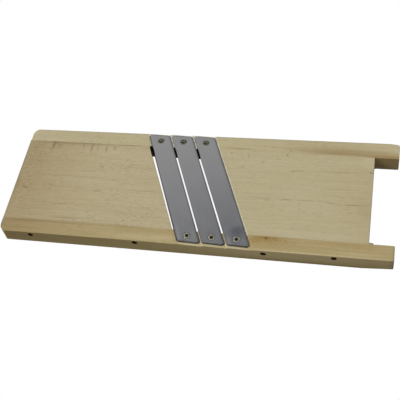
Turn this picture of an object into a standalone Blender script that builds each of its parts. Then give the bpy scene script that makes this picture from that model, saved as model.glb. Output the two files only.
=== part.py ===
"""Cabbage shredder: two beech rails, two beds between them, three slanted knives and their screws.

The origin is the middle of the board's underside. +X runs along the board towards its two
ears, +Y runs towards the back rail and +Z is up. Lengths are in metres, angles in radians.
"""
import math

import bmesh
import bpy
from mathutils import Vector

# Board
BOARD_LENGTH = 0.500
BOARD_WIDTH = 0.164
RAIL_HEIGHT = 0.025
FRONT_RAIL_WIDTH = 0.020
BACK_RAIL_LEFT_WIDTH = 0.0191
BACK_RAIL_RIGHT_WIDTH = 0.0226
EAR_LENGTH = 0.0293
BED_THICKNESS = 0.013

# Air left between two pieces that touch on the real board
JOINT_GAP = 0.0003
# How far a cutter stands out of the surface that it opens
CUT_OVERRUN = 0.002

# Shaped corners and edges of the wood
WOOD_EDGE_RADIUS = 0.0009
FRONT_CORNER_TOP_RADIUS = 0.010
FRONT_CORNER_FOOT_RADIUS = 0.002
BACK_CORNER_RADIUS = 0.014
EAR_CORNER_RADIUS = 0.0016
BACK_EAR_TIP_RADIUS = 0.003
BACK_EAR_TAPER_LENGTH = 0.012
BACK_EAR_TAPER_DEPTH = 0.0014
FRONT_EAR_RELIEF_LENGTH = 0.036
FRONT_EAR_RELIEF_HEIGHT = 0.0035
SAW_NIB_LENGTH = 0.005
SAW_NIB_WIDTH = 0.0018

# Knives: the cutting edge is the left, raised one
BLADE_COUNT = 3
BLADE_SLANT = math.radians(24.2)
BLADE_WIDTH = 0.0265
BLADE_THICKNESS = 0.0012
BLADE_SPACING = 0.0019
BLADE_FRONT_INSET = 0.003
BLADE_BACK_INSET = 0.002
BLADE_GROUP_X = 0.0027
BLADE_CORNER_RADIUS = 0.0033
BLADE_BEVEL_WIDTH = 0.003
BLADE_EDGE_LAND = 0.0003

# Saw-tooth seats in the wood under the knives
SEAT_DROP = 0.0018
SEAT_RIDGE_WIDTH = 0.0003
FIRST_MOUTH_FRONT_WIDTH = 0.0020
FIRST_MOUTH_BACK_WIDTH = 0.0026
MOUTH_UNDERCUT = 0.0015
BED_UNDERLAP = 0.004

# Knife screws
BLADE_SCREW_HEAD_RADIUS = 0.004
BLADE_SCREW_SHANK_RADIUS = 0.0015
BLADE_SCREW_LENGTH = 0.016
BLADE_SCREW_INSET = 0.0095

# Bed screws, sunk in the outer faces of the rails
BED_SCREW_HEAD_RADIUS = 0.0027
BED_SCREW_SHANK_RADIUS = 0.0014
BED_SCREW_LENGTH = 0.030
BED_SCREW_SINK = 0.0045
# Each pair is shares of the bed's edge, counted from its left end
LEFT_BED_SCREW_SHARES = (0.1857, 0.8013)
RIGHT_BED_SCREW_SHARES = (0.178, 0.740)
# Heights are shares of the bed's thickness, counted from its underside
BED_SCREW_HEIGHT_SHARES = (0.48, 0.58, 0.37, 0.59)

# Every screw: shares of its head radius, apart from the recess's floor
HEAD_RIM_SHARE = 0.08
TIP_LENGTH_SHARE = 1.0
RECESS_REACH_SHARE = 0.56
RECESS_ARM_SHARE = 0.15
RECESS_DEPTH_SHARE = 0.50
RECESS_FLOOR_SHARE = 0.35

# How finely round shapes are stepped
CORNER_STEPS = 6
EDGE_STEPS = 2
SCREW_SIDES = 24
SOFT_ANGLE = math.radians(30)

# Places that follow from the sizes
LEFT_END = -BOARD_LENGTH / 2
RIGHT_END = BOARD_LENGTH / 2
BED_END = RIGHT_END - EAR_LENGTH
FRONT_FACE = -BOARD_WIDTH / 2
BACK_FACE = BOARD_WIDTH / 2
FRONT_SEAM = FRONT_FACE + FRONT_RAIL_WIDTH
BACK_SEAM_SLOPE = (BACK_RAIL_LEFT_WIDTH - BACK_RAIL_RIGHT_WIDTH) / BOARD_LENGTH
BACK_SEAM_MIDDLE = BACK_FACE - (BACK_RAIL_LEFT_WIDTH + BACK_RAIL_RIGHT_WIDTH) / 2
BLADE_PITCH = BLADE_WIDTH + BLADE_SPACING
BLADE_TILT = math.asin(SEAT_DROP / BLADE_WIDTH)
BLADE_SPAN = BOARD_WIDTH - BLADE_FRONT_INSET - BLADE_BACK_INSET
BLADE_FRONT_Y = FRONT_FACE + BLADE_FRONT_INSET
BLADE_BACK_Y = BLADE_FRONT_Y + BLADE_SPAN
GROUP_HALF_WIDTH = ((BLADE_COUNT - 1) * BLADE_PITCH + BLADE_WIDTH) / 2
LEFT_BED_FRONT_ACROSS = -GROUP_HALF_WIDTH - FIRST_MOUTH_FRONT_WIDTH
LEFT_BED_BACK_ACROSS = -GROUP_HALF_WIDTH - FIRST_MOUTH_BACK_WIDTH
RIGHT_BED_ACROSS = GROUP_HALF_WIDTH - BED_UNDERLAP


def clear_scene():
    """Remove every object, so that only the shredder is left."""
    for old in list(bpy.data.objects):
        bpy.data.objects.remove(old, do_unlink=True)


def make_material(name, colour, roughness, metallic=0.0):
    """Return a plain surface material."""
    material = bpy.data.materials.new(name)
    material.use_nodes = True
    shader = material.node_tree.nodes["Principled BSDF"]
    shader.inputs["Base Color"].default_value = (*colour, 1.0)
    shader.inputs["Roughness"].default_value = roughness
    shader.inputs["Metallic"].default_value = metallic
    material.diffuse_color = (*colour, 1.0)
    return material


def add_object(name, shape, material=None, parent=None):
    """Turn a bmesh into a named object with its own mesh and material."""
    bmesh.ops.recalc_face_normals(shape, faces=shape.faces)
    mesh = bpy.data.meshes.new(name)
    shape.to_mesh(mesh)
    shape.free()
    mesh.shade_smooth()
    mesh.set_sharp_from_angle(angle=SOFT_ANGLE)
    if material is not None:
        mesh.materials.append(material)
    made = bpy.data.objects.new(name, mesh)
    made.parent = parent
    bpy.context.scene.collection.objects.link(made)
    return made


def add_cutter(name, shape, parent=None):
    """Add a shape that only takes material away from others."""
    cutter = add_object(name, shape, parent=parent)
    cutter.display_type = "WIRE"
    cutter.hide_render = True
    return cutter


def add_empty(name, parent=None):
    """Add an empty that carries the pieces of one sub-assembly."""
    made = bpy.data.objects.new(name, None)
    made.parent = parent
    bpy.context.scene.collection.objects.link(made)
    return made


def cut(target, cutter):
    """Take the cutter's shape out of the target."""
    modifier = target.modifiers.new(cutter.name, "BOOLEAN")
    modifier.operation = "DIFFERENCE"
    modifier.solver = "EXACT"
    modifier.object = cutter


def rounded_outline(corners):
    """Return the points of a closed outline of (x, y, radius) corners, each rounded by an arc."""
    points = []
    for index, (x, y, radius) in enumerate(corners):
        corner = Vector((x, y))
        if radius == 0:
            points.append(corner)
            continue
        before = Vector(corners[index - 1][:2]) - corner
        after = Vector(corners[(index + 1) % len(corners)][:2]) - corner
        half_angle = before.angle(after) / 2
        reach = min(radius / math.tan(half_angle), before.length / 2, after.length / 2)
        start = corner + before.normalized() * reach
        end = corner + after.normalized() * reach
        middle = (before.normalized() + after.normalized()).normalized()
        centre = corner + middle * (reach / math.cos(half_angle))
        first = start - centre
        last = end - centre
        sweep = math.atan2(first.cross(last), first.dot(last))
        for step in range(CORNER_STEPS + 1):
            turn = sweep * step / CORNER_STEPS
            across = Vector((-first.y, first.x))
            points.append(centre + first * math.cos(turn) + across * math.sin(turn))
    return points


def skin(shape, lower, upper):
    """Add the faces between two rings of corners, either of which may be a single point."""
    count = max(len(lower), len(upper))
    for index in range(count):
        following = (index + 1) % count
        corners = [lower[index % len(lower)], lower[following % len(lower)]]
        corners += [upper[following % len(upper)], upper[index % len(upper)]]
        shape.faces.new(list(dict.fromkeys(corners)))


def block(floor_outline, top_outline, bottom, top):
    """Return a solid between two plan outlines that have the same number of points."""
    shape = bmesh.new()
    floor = [shape.verts.new((x, y, bottom)) for x, y in floor_outline]
    roof = [shape.verts.new((x, y, top)) for x, y in top_outline]
    skin(shape, floor, roof)
    shape.faces.new(floor)
    shape.faces.new(roof)
    bmesh.ops.recalc_face_normals(shape, faces=shape.faces)
    return shape


def prism(outline, bottom, top):
    """Return an upright solid of a plan outline between two heights."""
    return block(outline, outline, bottom, top)


def slice_off(shape, point, normal):
    """Cut away what lies on the normal's side of a plane and close the cut."""
    everything = shape.verts[:] + shape.edges[:] + shape.faces[:]
    result = bmesh.ops.bisect_plane(
        shape, geom=everything, plane_co=point, plane_no=normal, clear_outer=True
    )
    rim = [edge for edge in result["geom_cut"] if isinstance(edge, bmesh.types.BMEdge)]
    bmesh.ops.edgeloop_fill(shape, edges=rim)
    bmesh.ops.recalc_face_normals(shape, faces=shape.faces)


def soften_edges(shape, sharp):
    """Round the level edges of a board, apart from those whose middle sharp says to leave."""
    chosen = []
    for edge in shape.edges:
        first, second = (vert.co for vert in edge.verts)
        upright = abs((second - first).normalized().z) > math.cos(SOFT_ANGLE)
        flat = edge.calc_face_angle(0) < SOFT_ANGLE
        if not (upright or flat or sharp((first + second) / 2)):
            chosen.append(edge)
    bmesh.ops.bevel(
        shape,
        geom=chosen,
        offset=WOOD_EDGE_RADIUS,
        offset_type="OFFSET",
        segments=EDGE_STEPS,
        profile=0.5,
        affect="EDGES",
        clamp_overlap=True,
    )


def turned(profile):
    """Return a solid of revolution about Z from (radius, height) points, bottom to top."""
    shape = bmesh.new()
    rings = []
    for radius, height in profile:
        if radius == 0:
            rings.append([shape.verts.new((0, 0, height))])
            continue
        ring = []
        for side in range(SCREW_SIDES):
            angle = 2 * math.pi * side / SCREW_SIDES
            ring.append(shape.verts.new((radius * math.cos(angle), radius * math.sin(angle), height)))
        rings.append(ring)
    for lower, upper in zip(rings, rings[1:]):
        skin(shape, lower, upper)
    return shape


def slanted_x(across, y):
    """Return where a line parallel to the knives, at a distance across them, stands at y."""
    return BLADE_GROUP_X + across / math.cos(BLADE_SLANT) - y * math.tan(BLADE_SLANT)


def back_seam_y(x):
    """Return where the back rail's inner face stands at x: the rail widens towards its ear."""
    return BACK_SEAM_MIDDLE + BACK_SEAM_SLOPE * x


def seam_slant_x(across, gap):
    """Return where a line parallel to the knives meets the back seam, or a gap in front of it."""
    middle_x = slanted_x(across, BACK_SEAM_MIDDLE - gap)
    return middle_x / (1 + BACK_SEAM_SLOPE * math.tan(BLADE_SLANT))


def make_front_rail(wood):
    """Make the front rail with its relieved ear and its left corner, rounded more at the top."""
    outlines = []
    for radius in (FRONT_CORNER_FOOT_RADIUS, FRONT_CORNER_TOP_RADIUS):
        corners = [
            (LEFT_END, FRONT_FACE, radius),
            (RIGHT_END, FRONT_FACE, EAR_CORNER_RADIUS),
            (RIGHT_END, FRONT_SEAM, EAR_CORNER_RADIUS),
            (LEFT_END, FRONT_SEAM, 0),
        ]
        outlines.append(rounded_outline(corners))
    shape = block(*outlines, 0, RAIL_HEIGHT)
    relief_start = Vector((RIGHT_END - FRONT_EAR_RELIEF_LENGTH, FRONT_FACE, 0))
    relief_normal = Vector((FRONT_EAR_RELIEF_HEIGHT, 0, -FRONT_EAR_RELIEF_LENGTH)).normalized()
    slice_off(shape, relief_start, relief_normal)
    soften_edges(shape, sharp=lambda point: point.y > FRONT_SEAM - JOINT_GAP)
    return add_object("front_rail", shape, wood)


def make_back_rail(wood):
    """Make the back rail with its rounded left corner and tapered ear."""
    corners = [
        (LEFT_END, back_seam_y(LEFT_END), 0),
        (RIGHT_END, back_seam_y(RIGHT_END), EAR_CORNER_RADIUS),
        (RIGHT_END, BACK_FACE - BACK_EAR_TAPER_DEPTH, BACK_EAR_TIP_RADIUS),
        (RIGHT_END - BACK_EAR_TAPER_LENGTH, BACK_FACE, 0),
        (LEFT_END, BACK_FACE, BACK_CORNER_RADIUS),
    ]
    shape = prism(rounded_outline(corners), 0, RAIL_HEIGHT)
    soften_edges(shape, sharp=lambda point: point.y < back_seam_y(point.x) + JOINT_GAP)
    return add_object("back_rail", shape, wood)


def make_left_bed(wood):
    """Make the bed before the first knife, its slanted end sawn to lean back under the top."""
    front = FRONT_SEAM + JOINT_GAP
    outlines = []
    for undercut in (MOUTH_UNDERCUT, 0):
        end_x = seam_slant_x(LEFT_BED_BACK_ACROSS - undercut, JOINT_GAP)
        outline = [
            (LEFT_END, front),
            (slanted_x(LEFT_BED_FRONT_ACROSS - undercut, front), front),
            (end_x, back_seam_y(end_x) - JOINT_GAP),
            (LEFT_END, back_seam_y(LEFT_END) - JOINT_GAP),
        ]
        outlines.append(outline)
    shape = block(*outlines, RAIL_HEIGHT - BED_THICKNESS, RAIL_HEIGHT)
    soften_edges(shape, sharp=lambda point: point.x > LEFT_END + JOINT_GAP)
    return add_object("left_bed", shape, wood)


def make_right_bed(wood):
    """Make the bed after the last knife, with the nib its saw left at the front ear."""
    front = FRONT_SEAM + JOINT_GAP
    start_x = seam_slant_x(RIGHT_BED_ACROSS, JOINT_GAP)
    outline = [
        (slanted_x(RIGHT_BED_ACROSS, front), front),
        (BED_END + SAW_NIB_LENGTH, front),
        (BED_END + SAW_NIB_LENGTH, front + SAW_NIB_WIDTH),
        (BED_END, front + SAW_NIB_WIDTH),
        (BED_END, back_seam_y(BED_END) - JOINT_GAP),
        (start_x, back_seam_y(start_x) - JOINT_GAP),
    ]
    shape = prism(outline, RAIL_HEIGHT - BED_THICKNESS, RAIL_HEIGHT)
    return add_object("right_bed", shape, wood)


def screw_heights(head_radius, shank_radius):
    """Return the depths of a countersunk head's rim and of its neck below the head's top."""
    rim = head_radius * HEAD_RIM_SHARE
    return rim, rim + head_radius - shank_radius


def screw_shape(head_radius, shank_radius, length):
    """Return a countersunk wood screw, its head's top at zero and its tip below."""
    rim, neck = screw_heights(head_radius, shank_radius)
    tip = head_radius * TIP_LENGTH_SHARE
    profile = [
        (0, -length),
        (shank_radius, tip - length),
        (shank_radius, -neck),
        (head_radius, -rim),
        (head_radius, 0),
        (0, 0),
    ]
    return turned(profile)


def screw_hole_shape(head_radius, shank_radius, length, open_above):
    """Return the hole that a screw lies in, with the joint gap all round it."""
    rim, neck = screw_heights(head_radius, shank_radius)
    slack = JOINT_GAP * (math.sqrt(2) - 1)
    bottom = -length - JOINT_GAP
    profile = [
        (0, bottom),
        (shank_radius + JOINT_GAP, bottom),
        (shank_radius + JOINT_GAP, -neck - slack),
        (head_radius + JOINT_GAP, -rim - slack),
        (head_radius + JOINT_GAP, open_above),
        (0, open_above),
    ]
    return turned(profile)


def recess_shape(head_radius):
    """Return the tapered cross that a screwdriver turns the head by."""
    reach = head_radius * RECESS_REACH_SHARE
    arm = head_radius * RECESS_ARM_SHARE
    depth = head_radius * RECESS_DEPTH_SHARE
    overrun = head_radius * HEAD_RIM_SHARE
    quarter = [(reach, -arm), (reach, arm), (arm, arm)]
    cross = []
    for turn in range(4):
        cosine = math.cos(turn * math.pi / 2)
        sine = math.sin(turn * math.pi / 2)
        cross += [(x * cosine - y * sine, x * sine + y * cosine) for x, y in quarter]
    shape = bmesh.new()
    rings = []
    for height in (-depth, overrun):
        share = 1 + (1 - RECESS_FLOOR_SHARE) * height / depth
        rings.append([shape.verts.new((x * share, y * share, height)) for x, y in cross])
    floor, mouth = rings
    shape.faces.new(floor)
    shape.faces.new(mouth)
    skin(shape, floor, mouth)
    return shape


def add_screw(name, head_radius, shank_radius, length, open_above, steel, holder, pieces):
    """Place a screw on its holder and bore its hole through the pieces it joins."""
    screw = add_object(name, screw_shape(head_radius, shank_radius, length), steel, parent=holder)
    cut(screw, add_cutter(name + "_recess", recess_shape(head_radius), parent=holder))
    hole_shape = screw_hole_shape(head_radius, shank_radius, length, open_above)
    hole = add_cutter(name + "_hole", hole_shape, parent=holder)
    for piece in pieces:
        cut(piece, hole)
    return screw


def blade_across(index):
    """Return how far a knife's middle line lies across the group from the group's middle."""
    return (index - (BLADE_COUNT - 1) / 2) * BLADE_PITCH


def seat_y(index, x, y):
    """Return the length along a seat at which a point x across it stands at y on the board."""
    across = blade_across(index) + x * math.cos(BLADE_TILT)
    return (y - across * math.sin(BLADE_SLANT)) / math.cos(BLADE_SLANT)


def blade_shape(index):
    """Return a knife lying on its underside, its cutting edge at -X and ground from below."""
    half = BLADE_WIDTH / 2
    corners = []
    for x, y in ((-half, BLADE_FRONT_Y), (half, BLADE_FRONT_Y), (half, BLADE_BACK_Y), (-half, BLADE_BACK_Y)):
        corners.append((x, seat_y(index, x, y), BLADE_CORNER_RADIUS))
    shape = prism(rounded_outline(corners), 0, BLADE_THICKNESS)
    rise = BLADE_THICKNESS - BLADE_EDGE_LAND
    slice_off(shape, Vector((-half, 0, rise)), Vector((-rise, 0, -BLADE_BEVEL_WIDTH)).normalized())
    return shape


def seat_cutter_shape():
    """Return the three-sided bar that planes one saw-tooth seat, in its seat's own frame.

    The seat's floor is the plane z = 0. It runs out of the wood at the cutting edge, and a
    short steep slope climbs back to the surface behind the knife.
    """
    half = BLADE_WIDTH / 2
    low_x = half + JOINT_GAP
    surface_x = half + BLADE_SPACING - SEAT_RIDGE_WIDTH
    surface_z = (surface_x + half) * math.tan(BLADE_TILT)
    climb = surface_z / (surface_x - low_x)
    profile = [
        (-half - BLADE_SPACING, 0),
        (low_x, 0),
        (surface_x + CUT_OVERRUN / climb, surface_z + CUT_OVERRUN),
        (-half - BLADE_SPACING, surface_z + CUT_OVERRUN),
    ]
    shape = bmesh.new()
    ends = []
    for y in (-BOARD_WIDTH, BOARD_WIDTH):
        ends.append([shape.verts.new((x, y, z)) for x, z in profile])
    near, far = ends
    shape.faces.new(near)
    shape.faces.new(far)
    skin(shape, near, far)
    return shape


def make_blades(steel, screw_steel, front_rail, back_rail, right_bed):
    """Make the knives in their tilted seats, with a screw through each end."""
    group = add_empty("blade_group")
    group.location = (BLADE_GROUP_X, 0, RAIL_HEIGHT)
    group.rotation_euler = (0, 0, BLADE_SLANT)
    for index in range(BLADE_COUNT):
        name = f"blade_{index + 1}"
        seat = add_empty(name + "_seat", parent=group)
        seat.location = (blade_across(index), 0, -BLADE_WIDTH / 2 * math.tan(BLADE_TILT))
        seat.rotation_euler = (0, BLADE_TILT, 0)
        seat_cutter = add_cutter(name + "_seat_cutter", seat_cutter_shape(), parent=seat)
        cut(front_rail, seat_cutter)
        cut(back_rail, seat_cutter)
        if index == BLADE_COUNT - 1:
            cut(right_bed, seat_cutter)
        blade = add_object(name, blade_shape(index), steel, parent=seat)
        blade.location.z = JOINT_GAP
        ends = (
            ("front", front_rail, BLADE_FRONT_Y + BLADE_SCREW_INSET),
            ("back", back_rail, BLADE_BACK_Y - BLADE_SCREW_INSET),
        )
        for side, rail, y in ends:
            screw_name = f"{name}_screw_{side}"
            holder = add_empty(screw_name + "_place", parent=seat)
            holder.location = (0, seat_y(index, 0, y), JOINT_GAP + BLADE_THICKNESS)
            add_screw(
                screw_name,
                BLADE_SCREW_HEAD_RADIUS,
                BLADE_SCREW_SHANK_RADIUS,
                BLADE_SCREW_LENGTH,
                CUT_OVERRUN,
                screw_steel,
                holder,
                (blade, rail),
            )


def make_bed_screws(screw_steel, front_rail, back_rail, left_bed, right_bed):
    """Sink two screws through each rail into the edge of each bed."""
    front_ends = (slanted_x(LEFT_BED_FRONT_ACROSS, FRONT_SEAM), slanted_x(RIGHT_BED_ACROSS, FRONT_SEAM))
    back_ends = (seam_slant_x(LEFT_BED_BACK_ACROSS, 0), seam_slant_x(RIGHT_BED_ACROSS, 0))
    sides = (
        ("front", front_rail, FRONT_FACE + BED_SCREW_SINK, front_ends, math.pi / 2),
        ("back", back_rail, BACK_FACE - BED_SCREW_SINK, back_ends, -math.pi / 2),
    )
    for side, rail, head_y, (left_bed_end, right_bed_start), lean in sides:
        left_edge = (LEFT_END, left_bed_end)
        right_edge = (right_bed_start, BED_END)
        places = [(left_bed, left_edge, share) for share in LEFT_BED_SCREW_SHARES]
        places += [(right_bed, right_edge, share) for share in RIGHT_BED_SCREW_SHARES]
        for index, (bed, edge, share) in enumerate(places):
            height = BED_THICKNESS * (BED_SCREW_HEIGHT_SHARES[index] - 1)
            name = f"bed_screw_{side}_{index + 1}"
            holder = add_empty(name + "_place")
            holder.location = (edge[0] + (edge[1] - edge[0]) * share, head_y, RAIL_HEIGHT + height)
            holder.rotation_euler = (lean, 0, 0)
            add_screw(
                name,
                BED_SCREW_HEAD_RADIUS,
                BED_SCREW_SHANK_RADIUS,
                BED_SCREW_LENGTH,
                BED_SCREW_SINK + CUT_OVERRUN,
                screw_steel,
                holder,
                (rail, bed),
            )


def main():
    """Build the whole shredder."""
    clear_scene()
    front_wood = make_material("front_rail_beech", (0.42, 0.33, 0.17), 0.55)
    back_wood = make_material("back_rail_beech", (0.45, 0.38, 0.22), 0.55)
    left_wood = make_material("left_bed_beech", (0.44, 0.35, 0.20), 0.55)
    right_wood = make_material("right_bed_beech", (0.47, 0.39, 0.24), 0.55)
    blade_steel = make_material("blade_steel", (0.26, 0.26, 0.26), 0.38, metallic=1.0)
    screw_zinc = make_material("screw_zinc", (0.38, 0.37, 0.33), 0.35, metallic=1.0)
    screw_dark = make_material("sunk_screw_steel", (0.16, 0.15, 0.13), 0.45, metallic=1.0)
    front_rail = make_front_rail(front_wood)
    back_rail = make_back_rail(back_wood)
    left_bed = make_left_bed(left_wood)
    right_bed = make_right_bed(right_wood)
    make_blades(blade_steel, screw_zinc, front_rail, back_rail, right_bed)
    make_bed_screws(screw_dark, front_rail, back_rail, left_bed, right_bed)


main()
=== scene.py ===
"""Beech cabbage shredder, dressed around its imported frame.

Two rails carry two slide beds between them. Three ground knives lie at a slant in
saw-tooth seats across the rails, each held down by two countersunk screws, and eight
more screws are sunk in the rails' outer faces to hold the beds. Lengths are in metres,
in the frame's own axes: +X runs along the board towards its two ears, +Y towards the
back rail and +Z up.
"""
import logging
import math
from dataclasses import dataclass
from enum import Enum
from functools import partial
from typing import Callable, Sequence

import bmesh
import bpy
from bpy.types import Material, Mesh, Node, NodeSocket, Object
from mathutils import Matrix, Vector


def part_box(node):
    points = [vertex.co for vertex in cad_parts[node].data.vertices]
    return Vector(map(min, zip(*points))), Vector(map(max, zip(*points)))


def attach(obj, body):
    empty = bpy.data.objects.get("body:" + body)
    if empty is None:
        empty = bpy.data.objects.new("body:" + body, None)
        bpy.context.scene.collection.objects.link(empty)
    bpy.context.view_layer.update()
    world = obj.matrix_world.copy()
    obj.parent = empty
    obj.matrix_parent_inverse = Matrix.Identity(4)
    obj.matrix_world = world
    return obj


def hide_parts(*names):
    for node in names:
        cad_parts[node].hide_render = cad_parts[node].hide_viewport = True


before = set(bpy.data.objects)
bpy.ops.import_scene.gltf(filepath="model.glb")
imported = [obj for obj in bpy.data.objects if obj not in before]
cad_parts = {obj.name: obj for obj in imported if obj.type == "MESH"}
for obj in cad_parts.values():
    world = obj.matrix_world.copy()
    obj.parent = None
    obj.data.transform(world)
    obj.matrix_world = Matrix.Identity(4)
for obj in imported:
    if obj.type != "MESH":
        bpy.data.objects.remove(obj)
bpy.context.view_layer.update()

LOGGER = logging.getLogger("cabbage_shredder")
BODY = "root"
SOFT_ANGLE = math.radians(32)
WELD_DISTANCE = 1e-6
ROUND_PROFILE = 0.5
# Dark steel colour used as painted shade on the knives' upright sides and edges.
SHADE_STEEL = (0.085, 0.078, 0.068)

# Most of a soft noise's swing lies between these two.
QUIET = 0.3
LOUD = 0.7

Colour = tuple[float, float, float]
Corner = tuple[float, float, float]
Outline = Sequence[Sequence[float]]
Paint = Colour | NodeSocket
Shape = bmesh.types.BMesh
Ring = list[bmesh.types.BMVert]
EdgeTest = Callable[[Vector, Vector], bool]


class Side(Enum):
    """The two long sides of the board."""

    FRONT = "front"
    BACK = "back"


class Board(Enum):
    """The four boards, by their nodes in the frame."""

    FRONT_RAIL = "front_rail"
    BACK_RAIL = "back_rail"
    LEFT_BED = "left_bed"
    RIGHT_BED = "right_bed"

    @property
    def slot(self) -> str:
        """The record's material slot for the board."""
        return "rail_beech" if self in (Board.FRONT_RAIL, Board.BACK_RAIL) else "bed_beech"


class Face(Enum):
    """Which of a piece's materials a face takes, as its place in the piece's slots."""

    PLANED = 0
    # On a knife this slot holds the painted shade of its sides, and on a screw the recess's finish; on a
    # knife the bored slot holds the countersink's painted shade and highlight.
    FRESH = 1
    BORED = 2


class Tint(Enum):
    """What colour a patch on the wood or the steel tends to."""

    BROWN = "brown"
    WARM = "warm"
    PALE = "pale"
    DULL = "dull"
    # Painted shade: near black, laid where shade falls in the mouths and at the knives' front corners.
    PAINTED_SHADE = "soot"


class Steel(Enum):
    """The steels of the screws and of the knives' edges, by the names of their materials; some carry painted
    shade or a painted highlight.
    """

    ZINC = "screw_zinc"
    TARNISHED_ZINC = "tarnished_zinc"
    WORN_RECESS = "worn_recess"
    GRIME_AND_SHADE = "recess_grime"
    SHADED_SUNK_SCREW = "sunk_screw_steel"
    SHADED_COUNTERSINK = "countersink_steel"
    # Painted shade on the knives' upright sides.
    KNIFE_SIDE_SHADE = "knife_rim_steel"


# Mesh tools


def rounded_outline(corners: Sequence[Corner], steps: int) -> list[Vector]:
    """Round the corners of a closed outline by arcs.

    Args:
        corners: The outline's corners as x, y and radius.
        steps: How many straight steps each arc has.

    Returns:
        The outline's points in order.
    """
    points = []
    for index, (x, y, radius) in enumerate(corners):
        corner = Vector((x, y))
        if radius == 0:
            points.append(corner)
            continue
        before = Vector(corners[index - 1][:2]) - corner
        after = Vector(corners[(index + 1) % len(corners)][:2]) - corner
        half_angle = before.angle(after) / 2
        reach = min(radius / math.tan(half_angle), before.length / 2, after.length / 2)
        middle = (before.normalized() + after.normalized()).normalized()
        centre = corner + middle * (reach / math.cos(half_angle))
        first = corner + before.normalized() * reach - centre
        last = corner + after.normalized() * reach - centre
        sweep = math.atan2(first.cross(last), first.dot(last))
        across = Vector((-first.y, first.x))
        for step in range(steps + 1):
            turn = sweep * step / steps
            points.append(centre + first * math.cos(turn) + across * math.sin(turn))
    return points


def skin(shape: Shape, lower: Ring, upper: Ring) -> None:
    """Add the faces between two rings of corners, either of which may be one point.

    Args:
        shape: The solid being made.
        lower: The first ring.
        upper: The next ring.
    """
    count = max(len(lower), len(upper))
    for index in range(count):
        following = (index + 1) % count
        corners = [lower[index % len(lower)], lower[following % len(lower)]]
        corners += [upper[following % len(upper)], upper[index % len(upper)]]
        shape.faces.new(list(dict.fromkeys(corners)))


def skin_rings(shape: Shape, rings: Sequence[Ring]) -> None:
    """Add the faces between each ring of corners and the next."""
    for lower, upper in zip(rings, rings[1:]):
        skin(shape, lower, upper)


def ring(shape: Shape, radius: float, height: float, sides: int) -> Ring:
    """Add a level ring of corners round Z.

    Args:
        shape: The solid being made.
        radius: The ring's radius, or 0 for a single corner.
        height: The ring's height.
        sides: How many corners it has.

    Returns:
        The corners in order.
    """
    count = sides if radius > 0 else 1
    angles = [2 * math.pi * side / count for side in range(count)]
    return [shape.verts.new((radius * math.cos(turn), radius * math.sin(turn), height)) for turn in angles]


def block(floor: Outline, roof: Outline, low: float, high: float) -> Shape:
    """Span a solid between two plan outlines with the same number of points.

    Args:
        floor: The underside's points in order.
        roof: The top's points in the same order.
        low: Height of the underside.
        high: Height of the top.

    Returns:
        The closed solid.
    """
    shape = bmesh.new()
    lower = [shape.verts.new((x, y, low)) for x, y in floor]
    upper = [shape.verts.new((x, y, high)) for x, y in roof]
    skin(shape, lower, upper)
    shape.faces.new(lower)
    shape.faces.new(upper)
    bmesh.ops.recalc_face_normals(shape, faces=shape.faces)
    return shape


def prism(outline: Outline, low: float, high: float) -> Shape:
    """Raise a plan outline into an upright solid between two heights."""
    return block(outline, outline, low, high)


def turned(profile: Sequence[tuple[float, float]], sides: int) -> Shape:
    """Turn a profile about Z.

    Args:
        profile: Radius and height of each ring, from bottom to top.
        sides: How many sides the round has.

    Returns:
        The closed solid.
    """
    shape = bmesh.new()
    skin_rings(shape, [ring(shape, radius, height, sides) for radius, height in profile])
    return shape


def whole(shape: Shape) -> list:
    """Return all of a solid's corners, edges and faces."""
    return shape.verts[:] + shape.edges[:] + shape.faces[:]


def slice_off(shape: Shape, point: Vector, normal: Vector) -> None:
    """Cut away what lies on the normal's side of a plane and close the cut.

    Args:
        shape: The solid to cut.
        point: A point on the plane.
        normal: The plane's normal, towards the waste.
    """
    result = bmesh.ops.bisect_plane(
        shape, geom=whole(shape), plane_co=point, plane_no=normal, clear_outer=True
    )
    rim = [item for item in result["geom_cut"] if isinstance(item, bmesh.types.BMEdge)]
    bmesh.ops.edgeloop_fill(shape, edges=rim)
    bmesh.ops.recalc_face_normals(shape, faces=shape.faces)


def score(shape: Shape, axis: Vector, places: Sequence[float]) -> None:
    """Divide a solid's faces along parallel planes, without opening it.

    Args:
        shape: The solid to divide.
        axis: The planes' normal.
        places: How far along the axis each plane lies.
    """
    for place in places:
        bmesh.ops.bisect_plane(shape, geom=whole(shape), plane_co=axis * place, plane_no=axis)


def round_edges(shape: Shape, radius: float, steps: int, wanted: EdgeTest) -> None:
    """Round the corner edges of a solid that a test picks out.

    Args:
        shape: The solid.
        radius: How far the rounding reaches from each edge.
        steps: How many faces the rounding has.
        wanted: Says of an edge's two ends whether it is rounded.
    """
    chosen = []
    for edge in shape.edges:
        first, second = (vert.co for vert in edge.verts)
        if edge.calc_face_angle(0) > SOFT_ANGLE and wanted(first, second):
            chosen.append(edge)
    bmesh.ops.bevel(
        shape,
        geom=chosen,
        offset=radius,
        offset_type="OFFSET",
        segments=steps,
        profile=ROUND_PROFILE,
        affect="EDGES",
        clamp_overlap=True,
    )


def is_upright(first: Vector, second: Vector) -> bool:
    """Say whether an edge stands upright."""
    return abs((second - first).normalized().z) > math.cos(SOFT_ANGLE)


def stand(name: str, data: bpy.types.ID, place: Matrix) -> Object:
    """Stand a mesh, a lamp or a camera in the scene.

    Args:
        name: The object's name.
        data: The mesh, lamp or camera, which other objects may share.
        place: Where the object stands.

    Returns:
        The new object.
    """
    made = bpy.data.objects.new(name, data)
    bpy.context.scene.collection.objects.link(made)
    made.matrix_world = place
    return made


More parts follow.
